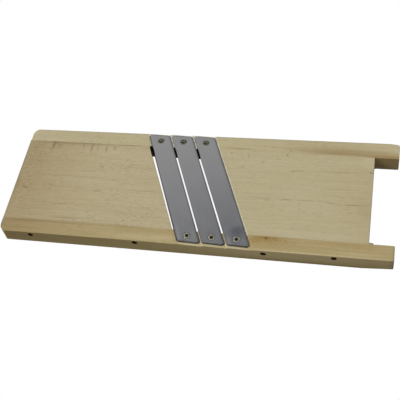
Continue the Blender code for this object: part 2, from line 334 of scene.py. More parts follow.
def as_object(name: str, shape: Shape, materials: Sequence[Material] = ()) -> Object:
    """Turn a solid into an object of its own.

    Args:
        name: The object's name.
        shape: The solid, which is used up.
        materials: The object's material slots.

    Returns:
        The new object, in the scene.
    """
    bmesh.ops.recalc_face_normals(shape, faces=shape.faces)
    mesh = bpy.data.meshes.new(name)
    shape.to_mesh(mesh)
    shape.free()
    for material in materials:
        mesh.materials.append(material)
    return stand(name, mesh, Matrix.Identity(4))


def as_cutter(name: str, shape: Shape, face: Face, place: Matrix) -> Object:
    """Turn a solid into a cutter whose cuts take one of the cut piece's materials.

    Args:
        name: The cutter's name.
        shape: The solid, which is used up.
        face: The material that its cuts take.
        place: Where the cutter stands.

    Returns:
        The cutter.
    """
    for each in shape.faces:
        each.material_index = face.value
    cutter = as_object(name, shape)
    for _ in Face:
        cutter.data.materials.append(None)
    cutter.matrix_world = place
    return cutter


def carve(target: Object, cutters: Sequence[Object]) -> None:
    """Cut the cutters' shapes out of an object, once and for all.

    Args:
        target: The object to cut.
        cutters: What is taken away from it.
    """
    for cutter in cutters:
        modifier = target.modifiers.new(cutter.name, "BOOLEAN")
        modifier.operation = "DIFFERENCE"
        modifier.solver = "EXACT"
        modifier.material_mode = "INDEX"
        modifier.object = cutter
    bpy.context.view_layer.update()
    graph = bpy.context.evaluated_depsgraph_get()
    carved = bpy.data.meshes.new_from_object(target.evaluated_get(graph), depsgraph=graph)
    spent = target.data
    target.modifiers.clear()
    target.data = carved
    carved.name = target.name
    bpy.data.meshes.remove(spent)


def discard(cutters: Sequence[Object]) -> None:
    """Take used cutters out of the scene.

    Args:
        cutters: The cutters.
    """
    for cutter in cutters:
        mesh = cutter.data
        bpy.data.objects.remove(cutter)
        bpy.data.meshes.remove(mesh)


def smooth(target: Object) -> None:
    """Weld an object's loose corners and shade its rounded edges smooth.

    Args:
        target: The object.
    """
    shape = bmesh.new()
    shape.from_mesh(target.data)
    bmesh.ops.remove_doubles(shape, verts=shape.verts, dist=WELD_DISTANCE)
    bmesh.ops.dissolve_degenerate(shape, edges=shape.edges, dist=WELD_DISTANCE)
    shape.to_mesh(target.data)
    shape.free()
    target.data.shade_smooth()
    target.data.set_sharp_from_angle(angle=SOFT_ANGLE)
    weighted = target.modifiers.new("even_shading", "WEIGHTED_NORMAL")
    weighted.keep_sharp = True


def install(piece: Object, node: str) -> None:
    """Let a piece ride on the frame and stand for one of its nodes.

    Args:
        piece: The finished piece.
        node: The node that it replaces.
    """
    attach(piece, BODY)
    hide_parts(node)
    LOGGER.info("%s stands for %s with %d faces", piece.name, node, len(piece.data.polygons))


# Finishes


class Graph:
    """A shading tree that is written from top to bottom."""

    MIX_SHARE = 0
    MIX_COLOURS = (6, 7)
    MIX_RESULT = 2

    def __init__(self, owner: Material | bpy.types.World) -> None:
        """Start an empty tree.

        Args:
            owner: The material or the world that the tree belongs to.
        """
        owner.use_nodes = True
        self.owner = owner
        self.tree = owner.node_tree
        self.tree.nodes.clear()

    def add(self, kind: str, **settings: object) -> Node:
        """Add a node.

        Args:
            kind: The node's type, without its prefix.
            settings: The node's own settings by name.

        Returns:
            The new node.
        """
        node = self.tree.nodes.new("ShaderNode" + kind)
        for key, value in settings.items():
            setattr(node, key, value)
        return node

    def put(self, socket: NodeSocket, value: object) -> None:
        """Link a socket to another node's output, or set its value.

        Args:
            socket: The socket.
            value: The output or the value.
        """
        if isinstance(value, NodeSocket):
            self.tree.links.new(value, socket)
        else:
            socket.default_value = value

    def feed(self, node: Node, **values: object) -> None:
        """Put values into a node's inputs, each named with underscores for spaces."""
        for key, value in values.items():
            self.put(node.inputs[key.replace("_", " ")], value)

    def place(self) -> NodeSocket:
        """Return the point being shaded, in the object's own metres."""
        return self.add("TexCoord").outputs["Object"]

    def along(self, vector: NodeSocket, axis: str) -> NodeSocket:
        """Return one of a vector's three numbers.

        Args:
            vector: The vector.
            axis: The number's axis.

        Returns:
            The number.
        """
        node = self.add("SeparateXYZ")
        self.feed(node, Vector=vector)
        return node.outputs[axis]

    def math(self, operation: str, *values: float | NodeSocket) -> NodeSocket:
        """Do a sum on numbers.

        Args:
            operation: The sum's name.
            values: Its one, two or three terms.

        Returns:
            The result.
        """
        node = self.add("Math", operation=operation)
        for socket, value in zip(node.inputs, values):
            self.put(socket, value)
        return node.outputs[0]

    def vector(self, operation: str, *values: Sequence[float] | NodeSocket) -> NodeSocket:
        """Do a sum on vectors.

        Args:
            operation: The sum's name.
            values: Its terms.

        Returns:
            The resulting vector, or the number where the sum gives one.
        """
        node = self.add("VectorMath", operation=operation)
        for socket, value in zip(node.inputs, values):
            self.put(socket, value)
        return node.outputs["Value" if operation == "LENGTH" else "Vector"]

    def mapped(self, vector: NodeSocket, kind: str = "POINT", **values: Sequence[float]) -> NodeSocket:
        """Move, turn and scale a vector.

        Args:
            vector: The vector.
            kind: POINT moves the point, TEXTURE moves what is painted.
            values: Location, Rotation and Scale.

        Returns:
            The mapped vector.
        """
        node = self.add("Mapping", vector_type=kind)
        self.feed(node, Vector=vector, **values)
        return node.outputs[0]

    def shifted(self, vector: NodeSocket, sway: NodeSocket, reach: float, axes: str) -> NodeSocket:
        """Shift a vector by a noise's swing about its middle.

        Args:
            vector: The vector.
            sway: The noise, from 0 to 1.
            reach: How far its whole swing shifts the vector.
            axes: The axes that it is shifted along.

        Returns:
            The shifted vector.
        """
        shift = self.math("MULTIPLY", self.math("SUBTRACT", sway, 0.5), reach)
        move = self.add("CombineXYZ")
        self.feed(move, **dict.fromkeys(axes, shift))
        return self.vector("ADD", vector, move.outputs[0])

    def between(
        self, value: NodeSocket, low: float, high: float, to_low: float = 0.0, to_high: float = 1.0
    ) -> NodeSocket:
        """Ease a number from one range to another.

        Args:
            value: The number.
            low: Where the result is to_low.
            high: Where the result is to_high.
            to_low: The result up to low.
            to_high: The result from high on.

        Returns:
            The eased number.
        """
        node = self.add("MapRange", interpolation_type="SMOOTHSTEP")
        self.feed(node, Value=value, From_Min=low, From_Max=high, To_Min=to_low, To_Max=to_high)
        return node.outputs[0]

    def mix(self, share: float | NodeSocket, first: Paint, second: Paint, blend: str = "MIX") -> NodeSocket:
        """Mix two colours.

        Args:
            share: How much of the second colour there is.
            first: The first colour.
            second: The second colour.
            blend: How the second lies over the first.

        Returns:
            The mixed colour.
        """
        node = self.add("Mix", data_type="RGBA", blend_type=blend)
        self.put(node.inputs[self.MIX_SHARE], share)
        for index, paint in zip(self.MIX_COLOURS, (first, second)):
            self.put(node.inputs[index], (*paint, 1.0) if isinstance(paint, tuple) else paint)
        return node.outputs[self.MIX_RESULT]

    def grey(self, value: NodeSocket) -> NodeSocket:
        """Turn a number into a grey.

        Args:
            value: How light the grey is.

        Returns:
            The grey colour.
        """
        node = self.add("CombineColor")
        self.feed(node, Red=value, Green=value, Blue=value)
        return node.outputs[0]

    def bump(self, height: NodeSocket, depth: float, strength: float) -> NodeSocket:
        """Turn a height from 0 to 1 into a relief.

        Args:
            height: The height.
            depth: The relief's depth in metres.
            strength: How far it shows.

        Returns:
            The surface's normal.
        """
        node = self.add("Bump")
        self.feed(node, Height=height, Distance=depth, Strength=strength)
        return node.outputs[0]

    def surface(self, **values: object) -> Material:
        """End a material's tree in its shader.

        Args:
            values: The shader's inputs, as for feed.

        Returns:
            The material.
        """
        shader = self.add("BsdfPrincipled")
        self.feed(shader, **values)
        self.feed(self.add("OutputMaterial"), Surface=shader.outputs[0])
        return self.owner


@dataclass(frozen=True)
class Texture:
    """A soft noise: its swings in a metre along X, Y and Z, and from where to where it shows."""

    swings: tuple[float, float, float]
    low: float = QUIET
    high: float = LOUD
    layers: float = 3.0
    roughness: float = 0.6

    def read(self, graph: Graph, place: NodeSocket) -> NodeSocket:
        """Read the noise.

        Args:
            graph: The material's tree.
            place: Where it is read.

        Returns:
            The noise, between 0 and 1.
        """
        scaled = graph.vector("MULTIPLY", place, self.swings)
        node = graph.add("TexNoise")
        graph.feed(node, Vector=scaled, Scale=1.0, Detail=self.layers, Roughness=self.roughness)
        return node.outputs[0]

    def shown(self, graph: Graph, noise: NodeSocket, quiet: float = 0.0, loud: float = 1.0) -> NodeSocket:
        """Ease the noise from the number where it begins to show to the one where it is full."""
        return graph.between(noise, self.low, self.high, quiet, loud)

    def spots(self, graph: Graph, place: NodeSocket, quiet: float = 0.0, loud: float = 1.0) -> NodeSocket:
        """Read the noise at a place and ease it, as shown does."""
        return self.shown(graph, self.read(graph, place), quiet, loud)


MOTTLE = Texture((170.0, 800.0, 800.0), 0.38, 0.62)


@dataclass(frozen=True)
class Patch:
    """A soft spot or streak: its middle, its reach along X and Y, its strength and its lean."""

    x: float
    y: float
    reach: float
    breadth: float
    strength: float
    tint: Tint = Tint.BROWN
    lean: float = 0.0
    core: float = 0.0
    depth: float = 0.012
    drop: float = 0.0
    mottle: float = 0.0

    def over(
        self, graph: Graph, place: NodeSocket, colour: Paint, tints: dict[Tint, Colour], height: float
    ) -> NodeSocket:
        """Lay the patch over a colour.

        Args:
            graph: The material's tree.
            place: The point being shaded.
            colour: The colour so far.
            tints: The colour of each tint.
            height: The height of the face that the patch is on.

        Returns:
            The colour with the patch on it.
        """
        near = graph.mapped(
            place,
            "TEXTURE",
            Location=(self.x, self.y, height - self.drop),
            Rotation=(0.0, 0.0, self.lean),
            Scale=(self.reach, self.breadth, self.depth),
        )
        share = graph.between(graph.vector("LENGTH", near), 1.0, self.core, 0.0, self.strength)
        if self.mottle:
            spots = MOTTLE.spots(graph, place, 1.0 - self.mottle)
            share = graph.math("MULTIPLY", share, spots)
        return graph.mix(share, colour, tints[self.tint])


@dataclass(frozen=True)
class Beech:
    """Planed beech of one board, with the grain along X."""

    name: str
    pale: Colour
    shade: Colour
    top: float
    patches: tuple[Patch, ...] = ()
    pith: tuple[float, float] = (0.03, -0.06)
    ring_gap: float = 0.0034
    ring_share: float = 0.08
    late_wood: tuple[float, float] = (0.25, 0.93)
    streak_share: float = 0.32
    dash_share: float = 0.42
    fleck_share: float = 0.42
    clump_floor: float = 0.35
    cloud_share: float = 0.16
    pore_share: float = 0.5
    end_share: float = 0.45
    end_facing: tuple[float, float] = (0.75, 0.95)
    lean: float = 0.0
    seed: float = 0.0
    seed_shares: tuple[float, float, float] = (1.0, 0.37, 0.19)
    sway_reach: float = 0.012
    ragged_reach: float = 0.0016
    brown: Colour = (0.175, 0.126, 0.054)
    warm: Colour = (0.28, 0.185, 0.07)
    light: Colour = (0.52, 0.47, 0.32)
    dull: Colour = (0.20, 0.19, 0.145)
    # Near-black painted shade for the mouths.
    soot: Colour = (0.003, 0.002, 0.001)
    fibre_shades: tuple[float, float] = (0.94, 1.05)
    roughness: tuple[float, float] = (0.58, 0.68)
    sheen: float = 0.28
    fibre_relief: float = 0.6
    streak_relief: float = 0.8
    relief_depth: float = 0.00012
    relief_strength: float = 0.6
    streaks: Texture = Texture((9.0, 330.0, 330.0), 0.34, 0.70)
    dashes: Texture = Texture((125.0, 620.0, 620.0), 0.42, 0.70)
    fibres: Texture = Texture((45.0, 1500.0, 1500.0), 0.2, 0.8, layers=2.0)
    clouds: Texture = Texture((9.0, 34.0, 34.0), 0.45, 0.8, layers=2.0, roughness=0.5)
    flecks: Texture = Texture((210.0, 900.0, 900.0), 0.60, 0.76, layers=1.0, roughness=0.4)
    clumps: Texture = Texture((16.0, 40.0, 40.0), 0.35, 0.65, layers=1.0, roughness=0.4)
    pores: Texture = Texture((600.0, 1900.0, 1900.0), 0.42, 0.62, layers=2.0, roughness=0.7)
    sway: Texture = Texture((5.0, 14.0, 14.0), layers=1.0, roughness=0.4)
    wobble: Texture = Texture((260.0, 420.0, 300.0))

    def build(self) -> Material:
        """Make the material.

        Returns:
            The material, in metres of the object's own space.
        """
        graph = Graph(bpy.data.materials.new(self.name))
        place = graph.place()
        grain = self._grain(graph, place)
        streaks = self.streaks.read(graph, grain)
        fibres = self.fibres.read(graph, grain)
        dashes = self.dashes.spots(graph, grain, 0.0, self.dash_share)
        clouds = self.clouds.spots(graph, grain, 0.0, self.cloud_share)
        streaked = self.streaks.shown(graph, streaks, 0.0, self.streak_share)
        colour = graph.mix(streaked, self.pale, self.shade)
        colour = graph.mix(dashes, colour, self.shade)
        colour = graph.mix(self._rings(graph, grain), colour, self.shade)
        colour = graph.mix(clouds, colour, self.light)
        colour = graph.mix(self._flecks(graph, grain), colour, self.brown)
        shade = graph.grey(self.fibres.shown(graph, fibres, *self.fibre_shades))
        colour = graph.mix(1.0, colour, shade, "MULTIPLY")
        colour = self._end_grain(graph, place, colour)
        colour = self._patched(graph, place, colour)
        fine = graph.math("MULTIPLY", fibres, self.fibre_relief)
        relief = graph.math("ADD", fine, graph.math("MULTIPLY", streaks, self.streak_relief))
        return graph.surface(
            Base_Color=colour,
            Roughness=graph.between(streaks, QUIET, LOUD, *self.roughness),
            Specular_IOR_Level=self.sheen,
            Normal=graph.bump(relief, self.relief_depth, self.relief_strength),
        )

    @property
    def start(self) -> tuple[float, ...]:
        """Where in the noise the board's grain begins."""
        return tuple(self.seed * share for share in self.seed_shares)

    def _grain(self, graph: Graph, place: NodeSocket) -> NodeSocket:
        """Bend straight space a little, as the fibres of a real board run."""
        start = graph.mapped(place, Location=self.start, Rotation=(0.0, 0.0, self.lean))
        return graph.shifted(start, self.sway.read(graph, start), self.sway_reach, "YZ")

    def _rings(self, graph: Graph, grain: NodeSocket) -> NodeSocket:
        """Return how dark each year's late wood is.

        Args:
            graph: The material's tree.
            grain: The point being shaded, in the grain's own space.

        Returns:
            A number from 0 to the rings' share.
        """
        begin, end = self.late_wood
        offset = (0.0, -self.pith[0] - self.start[1], -self.pith[1] - self.start[2])
        flat = graph.vector("MULTIPLY", graph.vector("ADD", grain, offset), (0.0, 1.0, 1.0))
        growth = graph.math("FRACT", graph.math("DIVIDE", graph.vector("LENGTH", flat), self.ring_gap))
        fall = graph.between(growth, end, 1.0, 1.0, 0.0)
        dark = graph.math("MULTIPLY", graph.between(growth, begin, end), fall)
        return graph.math("MULTIPLY", dark, self.ring_share)

    def _flecks(self, graph: Graph, grain: NodeSocket) -> NodeSocket:
        """Return where the short brown rays show.

        Args:
            graph: The material's tree.
            grain: The point being shaded, in the grain's own space.

        Returns:
            A number from 0 to the flecks' share.
        """
        spots = self.flecks.spots(graph, grain, 0.0, self.fleck_share)
        clumps = self.clumps.spots(graph, grain, self.clump_floor)
        return graph.math("MULTIPLY", spots, clumps)

    def _patched(self, graph: Graph, place: NodeSocket, colour: NodeSocket) -> NodeSocket:
        """Lay the board's own stains, knots and bands over its grain, and the painted shade that some of its
        patches carry.

        Args:
            graph: The material's tree.
            place: The point being shaded.
            colour: The colour so far.

        Returns:
            The colour with every patch on it.
        """
        tints = {
            Tint.BROWN: self.brown,
            Tint.WARM: self.warm,
            Tint.PALE: self.light,
            Tint.DULL: self.dull,
            Tint.PAINTED_SHADE: self.soot,
        }
        ragged = graph.shifted(place, self.wobble.read(graph, place), self.ragged_reach, "XY")
        for patch in self.patches:
            colour = patch.over(graph, ragged, colour, tints, self.top)
        return colour

    def _end_grain(self, graph: Graph, place: NodeSocket, colour: NodeSocket) -> NodeSocket:
        """Darken the faces that cut across the fibres and let their pores show.

        Args:
            graph: The material's tree.
            place: The point being shaded.
            colour: The colour so far.

        Returns:
            The colour with the end grain.
        """
        facing = graph.math("ABSOLUTE", graph.along(graph.add("TexCoord").outputs["Normal"], "X"))
        pores = self.pores.spots(graph, place, 0.0, self.pore_share)
        cut = graph.mix(pores, self.warm, self.brown)
        return graph.mix(graph.between(facing, *self.end_facing, 0.0, self.end_share), colour, cut)


@dataclass(frozen=True)
class FreshBeech:
    """Beech where a plane or a saw has cut below the aged surface."""

    name: str = "fresh_cut_beech"
    pale: Colour = (0.61, 0.59, 0.48)
    shade: Colour = (0.51, 0.48, 0.37)
    worn: Colour = (0.375, 0.295, 0.135)
    top: float = 0.025
    patches: tuple[Patch, ...] = ()
    roughness: tuple[float, float] = (0.62, 0.78)
    sheen: float = 0.25
    relief_depth: float = 0.00015
    relief_strength: float = 0.7
    streaks: Texture = Texture((30.0, 500.0, 500.0), 0.35, 0.7)
    chatter: Texture = Texture((1400.0, 120.0, 900.0), layers=2.0, roughness=0.5)

    def build(self) -> Material:
        """Make the material.

        Returns:
            The material, with the marks of the cut running across the grain.
        """
        graph = Graph(bpy.data.materials.new(self.name))
        place = graph.place()
        chatter = self.chatter.read(graph, place)
        colour = graph.mix(self.streaks.spots(graph, place), self.pale, self.shade)
        for patch in self.patches:
            colour = patch.over(graph, place, colour, {Tint.WARM: self.worn}, self.top)
        return graph.surface(
            Base_Color=colour,
            Roughness=self.chatter.shown(graph, chatter, *self.roughness),
            Specular_IOR_Level=self.sheen,
            Normal=graph.bump(chatter, self.relief_depth, self.relief_strength),
        )


@dataclass(frozen=True)
class ShadedBoreBeech:
    """The wall of a drilled hole, burnished by the drill and painted near black as the shade inside it."""

    name: str = "bored_beech_and_painted_shade"
    # Near black: painted shade inside the hole.
    dark: Colour = (0.016, 0.007, 0.001)
    light: Colour = (0.044, 0.022, 0.005)
    roughness: tuple[float, float] = (0.55, 0.75)
    sheen: float = 0.05
    relief_depth: float = 0.0001
    relief_strength: float = 0.6
    rings: Texture = Texture((500.0, 2200.0, 500.0), 0.35, 0.65, layers=2.0, roughness=0.5)

    def build(self) -> Material:
        """Make the material.

        Returns:
            The material, with rings from the drill.
        """
        graph = Graph(bpy.data.materials.new(self.name))
        rings = self.rings.read(graph, graph.place())
        return graph.surface(
            Base_Color=graph.mix(self.rings.shown(graph, rings), self.dark, self.light),
            Specular_IOR_Level=self.sheen,
            Roughness=graph.between(rings, QUIET, LOUD, *self.roughness),
            Normal=graph.bump(rings, self.relief_depth, self.relief_strength),
        )


@dataclass(frozen=True)
class GroundSteel:
    """Satin steel strip, ground along its length, with the smudges of use and painted shade along its edges,
    ends and mouth.
    """

    name: str
    base: Colour = (0.475, 0.475, 0.475)
    dull: Colour = (0.40, 0.402, 0.405)
    roughness: tuple[float, float] = (0.33, 0.43)
    rough_from: float = QUIET
    rough_to: float = 0.75
    smudges: tuple[Patch, ...] = ()
    painted_shades: tuple[Patch, ...] = ()
    seed: float = 0.0
    seed_share: float = 0.7
    thickness: float = 0.0012
    cloud_share: float = 0.6
    line_share: float = 0.22
    ragged_reach: float = 0.006
    relief_depth: float = 0.00001
    relief_strength: float = 0.5
    # Dark steel for the painted shade along the edges and ends, and for one smudge.
    dark: Colour = SHADE_STEEL
    # A bluish dark tint for smudges of use and for painted shade towards the front.
    smudge_and_shade: Colour = (0.155, 0.16, 0.186)
    bright: Colour = (0.68, 0.66, 0.61)
    # Near-black painted shade over the mouth and at the front corner.
    soot: Colour = (0.004, 0.0035, 0.003)
    lines: Texture = Texture((2600.0, 26.0, 900.0), QUIET, 0.75)
    clouds: Texture = Texture((70.0, 38.0, 60.0), 0.35, 0.72, roughness=0.55)
    wobble: Texture = Texture((160.0, 160.0, 160.0))

    def build(self, seat: Matrix) -> Material:
        """Make the material.

        Args:
            seat: The knife's own frame on the board, with its length along Y.

        Returns:
            The material.
        """
        graph = Graph(bpy.data.materials.new(self.name))
        place = graph.mapped(graph.place(), "TEXTURE", Location=seat.translation, Rotation=seat.to_euler())
        start = graph.mapped(place, Location=(self.seed, self.seed * self.seed_share, 0.0))
        lines = self.lines.read(graph, start)
        clouds = self.clouds.read(graph, start)
        colour = graph.mix(self.clouds.shown(graph, clouds, 0.0, self.cloud_share), self.base, self.dull)
        colour = graph.mix(self.lines.shown(graph, lines, 0.0, self.line_share), colour, self.dull)
        # The dark, bluish and near-black tints carry painted shade along the edges and ends as well as the
        # smudges of use.
        tints = {Tint.BROWN: self.dark, Tint.WARM: self.smudge_and_shade, Tint.PALE: self.bright, Tint.PAINTED_SHADE: self.soot}
        ragged = graph.shifted(place, self.wobble.read(graph, place), self.ragged_reach, "XY")
        # Smudges of use first, then the painted shade along the edges and ends.
        for spot, marks in ((ragged, self.smudges), (place, self.painted_shades)):
            for mark in marks:
                colour = mark.over(graph, spot, colour, tints, self.thickness)
        return graph.surface(
            Base_Color=colour,
            Metallic=1.0,
            Roughness=graph.between(clouds, self.rough_from, self.rough_to, *self.roughness),
            Normal=graph.bump(lines, self.relief_depth, self.relief_strength),
        )


@dataclass(frozen=True)
class Plate:
    """Dull steel, plated or bare, of a screw, its recess, its countersink or a knife's upright sides, some
    with painted shade or a painted highlight in their colour.
    """

    steel: Steel
    base: Colour
    tarnish: Colour
    roughness: float
    metallic: float = 1.0
    dish: float = 0.0
    dish_rim: tuple[float, float] = (0.74, 0.84)
    dish_share: float = 0.9
    # A lighter colour towards the board's back, as a painted highlight.
    back: Colour | None = None
    back_highlight_reach: float = 0.04
    roughening: float = 0.16
    relief_depth: float = 0.00002
    relief_strength: float = 0.6
    clouds: Texture = Texture((420.0, 420.0, 420.0), 0.4, 0.66, layers=4.0)
    marks: Texture = Texture((2400.0, 2400.0, 4800.0), layers=2.0)

    def build(self) -> Material:
        """Make the material.

        Returns:
            The material, with cloudy tarnish, darker within the dish, and fine turning marks.
        """
        graph = Graph(bpy.data.materials.new(self.steel.value))
        place = graph.place()
        clouds = self.clouds.read(graph, place)
        base = self.base
        # Painted highlight: a lighter colour towards the board's back.
        if self.back:
            backward = graph.between(graph.along(place, "Y"), -self.back_highlight_reach, self.back_highlight_reach)
            base = graph.mix(backward, self.base, self.back)
        colour = graph.mix(self.clouds.shown(graph, clouds), base, self.tarnish)
        if self.dish:
            # Darker within the dish, towards the head's middle.
            reach = graph.vector("LENGTH", graph.vector("MULTIPLY", place, (1.0, 1.0, 0.0)))
            inner, outer = (self.dish * share for share in self.dish_rim)
            darker_within_dish = graph.between(reach, inner, outer, self.dish_share, 0.0)
            colour = graph.mix(darker_within_dish, colour, self.tarnish)
        rough = (self.roughness, self.roughness + self.roughening)
        return graph.surface(
            Base_Color=colour,
            Metallic=self.metallic,
            Roughness=graph.between(clouds, QUIET, LOUD, *rough),
            Normal=graph.bump(self.marks.read(graph, place), self.relief_depth, self.relief_strength),
        )


def steel_finishes() -> dict[Steel, Material]:
    """Make the steels of the screws, their recesses and countersinks, and the knives' rims, some with
    painted shade or a painted highlight.

    Returns:
        The materials by steel.
    """
    plates = (
        Plate(Steel.ZINC, (0.90, 0.88, 0.74), (0.32, 0.30, 0.21), 0.24, dish=0.0038),
        Plate(Steel.TARNISHED_ZINC, (0.52, 0.50, 0.40), (0.040, 0.036, 0.026), 0.30, dish=0.0043),
        Plate(Steel.WORN_RECESS, (0.46, 0.44, 0.35), (0.05, 0.045, 0.03), 0.35, metallic=0.6),
        # Grime with painted shade for the depth of the recess.
        Plate(Steel.GRIME_AND_SHADE, (0.050, 0.045, 0.034), (0.022, 0.020, 0.015), 0.5, metallic=0.4),
        # Steel darkened as painted shade, deep in its hole.
        Plate(Steel.SHADED_SUNK_SCREW, (0.060, 0.042, 0.020), (0.022, 0.014, 0.006), 0.42),
        # Painted shade: near-black countersinks, as the gap round each head is shaded, with a painted
        # highlight towards the board's back.
        Plate(Steel.SHADED_COUNTERSINK, (0.035, 0.032, 0.026), (0.03, 0.027, 0.022), 0.36, back=(0.60, 0.58, 0.51)),
        Plate(Steel.KNIFE_SIDE_SHADE, SHADE_STEEL, (0.04, 0.036, 0.032), 0.45),
    )
    return {plate.steel: plate.build() for plate in plates}


# The board's plan


@dataclass(frozen=True)
class Plan:
    """The lines that every piece is set out from."""

    left: float
    right: float
    front: float
    back: float
    top: float
    front_rail_width: float = 0.020
    back_rail_left_width: float = 0.0191
    back_rail_right_width: float = 0.0226
    ear_length: float = 0.0293
    bed_thickness: float = 0.013
    fit: float = 0.00005
    hole_slack: float = 0.0003
    knife_count: int = 3
    slant: float = math.radians(24.2)
    knife_width: float = 0.0265
    knife_thickness: float = 0.0012
    knife_spacing: float = 0.0019
    knife_lift: float = 0.0003
    front_inset: float = 0.003
    back_inset: float = 0.002
    group_x: float = 0.0027
    seat_drop: float = 0.0018
    seat_ridge: float = 0.0003
    first_mouth_front: float = 0.0020
    first_mouth_back: float = 0.0030
    mouth_undercut: float = 0.0015
    shaded_length: float = 0.0175
    underlap: float = 0.004
    knife_screw_inset: float = 0.0095

    @classmethod
    def from_frame(cls) -> "Plan":
        """Read the board's outer faces from the frame's two rails.

        Returns:
            The board's plan.
        """
        front_low, front_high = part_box("front_rail")
        _, back_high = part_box("back_rail")
        return cls(
            left=front_low.x, right=front_high.x, front=front_low.y, back=back_high.y, top=front_high.z
        )

    @property
    def bed_end(self) -> float:
        """Where the right bed stops and the ears go on."""
        return self.right - self.ear_length

    @property
    def front_seam(self) -> float:
        """Where the front rail meets the beds."""
        return self.front + self.front_rail_width

    @property
    def back_slope(self) -> float:
        """How the back seam leans: the back rail widens towards its ear."""
        return (self.back_rail_left_width - self.back_rail_right_width) / (self.right - self.left)

    @property
    def seam_lean(self) -> float:
        """The back seam's lean as an angle."""
        return math.atan(self.back_slope)

    def back_seam(self, x: float) -> float:
        """Return where the back rail meets the beds, at x."""
        return self.back - self.back_rail_left_width + self.back_slope * (x - self.left)

    @property
    def tilt(self) -> float:
        """How far each knife is tipped, its cutting edge up."""
        return math.asin(self.seat_drop / self.knife_width)

    @property
    def half_group(self) -> float:
        """Half the width of all the knives together, square to them."""
        pitch = self.knife_width + self.knife_spacing
        return ((self.knife_count - 1) * pitch + self.knife_width) / 2

    def across(self, index: int) -> float:
        """Return how far a knife's middle lies across the group from the group's middle."""
        return (index - (self.knife_count - 1) / 2) * (self.knife_width + self.knife_spacing)

    def slanted_x(self, across: float, y: float) -> float:
        """Return where a line parallel to the knives stands at y."""
        return self.group_x + across / math.cos(self.slant) - y * math.tan(self.slant)

    @property
    def dark_mouth_y(self) -> float:
        """Where the mouths open over the shaded inner face of the back rail."""
        return self.back_seam(0) - self.shaded_length / 2

    @property
    def first_mouth_x(self) -> float:
        """Where the left bed ends at that place."""
        return self.slanted_x(-self.half_group - self.first_mouth_back, self.dark_mouth_y)

    def seam_x(self, across: float) -> float:
        """Return where a line parallel to the knives meets the back seam."""
        middle = self.back_seam((self.left + self.right) / 2)
        return self.slanted_x(across, middle) / (1 + self.back_slope * math.tan(self.slant))

    def seat_place(self, index: int) -> Matrix:
        """Return the frame of a knife's seat.

        Args:
            index: The knife's place in the group, from 0.

        Returns:
            The frame: the seat's floor is its z = 0 and the knife lies along its Y.
        """
        group = Matrix.Translation((self.group_x, 0, self.top)) @ Matrix.Rotation(self.slant, 4, "Z")
        drop = -self.knife_width / 2 * math.tan(self.tilt)
        seat = Matrix.Translation((self.across(index), 0, drop)) @ Matrix.Rotation(self.tilt, 4, "Y")
        return group @ seat

    def knife_place(self, index: int) -> Matrix:
        """Return a knife's own frame: its underside is z = 0 and its length lies along Y."""
        return self.seat_place(index) @ Matrix.Translation((0, 0, self.knife_lift))

    def seat_y(self, index: int, x: float, y: float) -> float:
        """Return the place along a seat at which a point x across it stands at y on the board."""
        across = self.across(index) + x * math.cos(self.tilt)
        return (y - across * math.sin(self.slant)) / math.cos(self.slant)

    def knife_end(self, side: Side) -> float:
        """Return where the knives end on one side of the board."""
        return self.front + self.front_inset if side is Side.FRONT else self.back - self.back_inset

    def knife_screw_y(self, side: Side) -> float:
        """Return where the knives' screws stand on one side of the board."""
        inset = self.knife_screw_inset if side is Side.FRONT else -self.knife_screw_inset
        return self.knife_end(side) + inset


# Screws


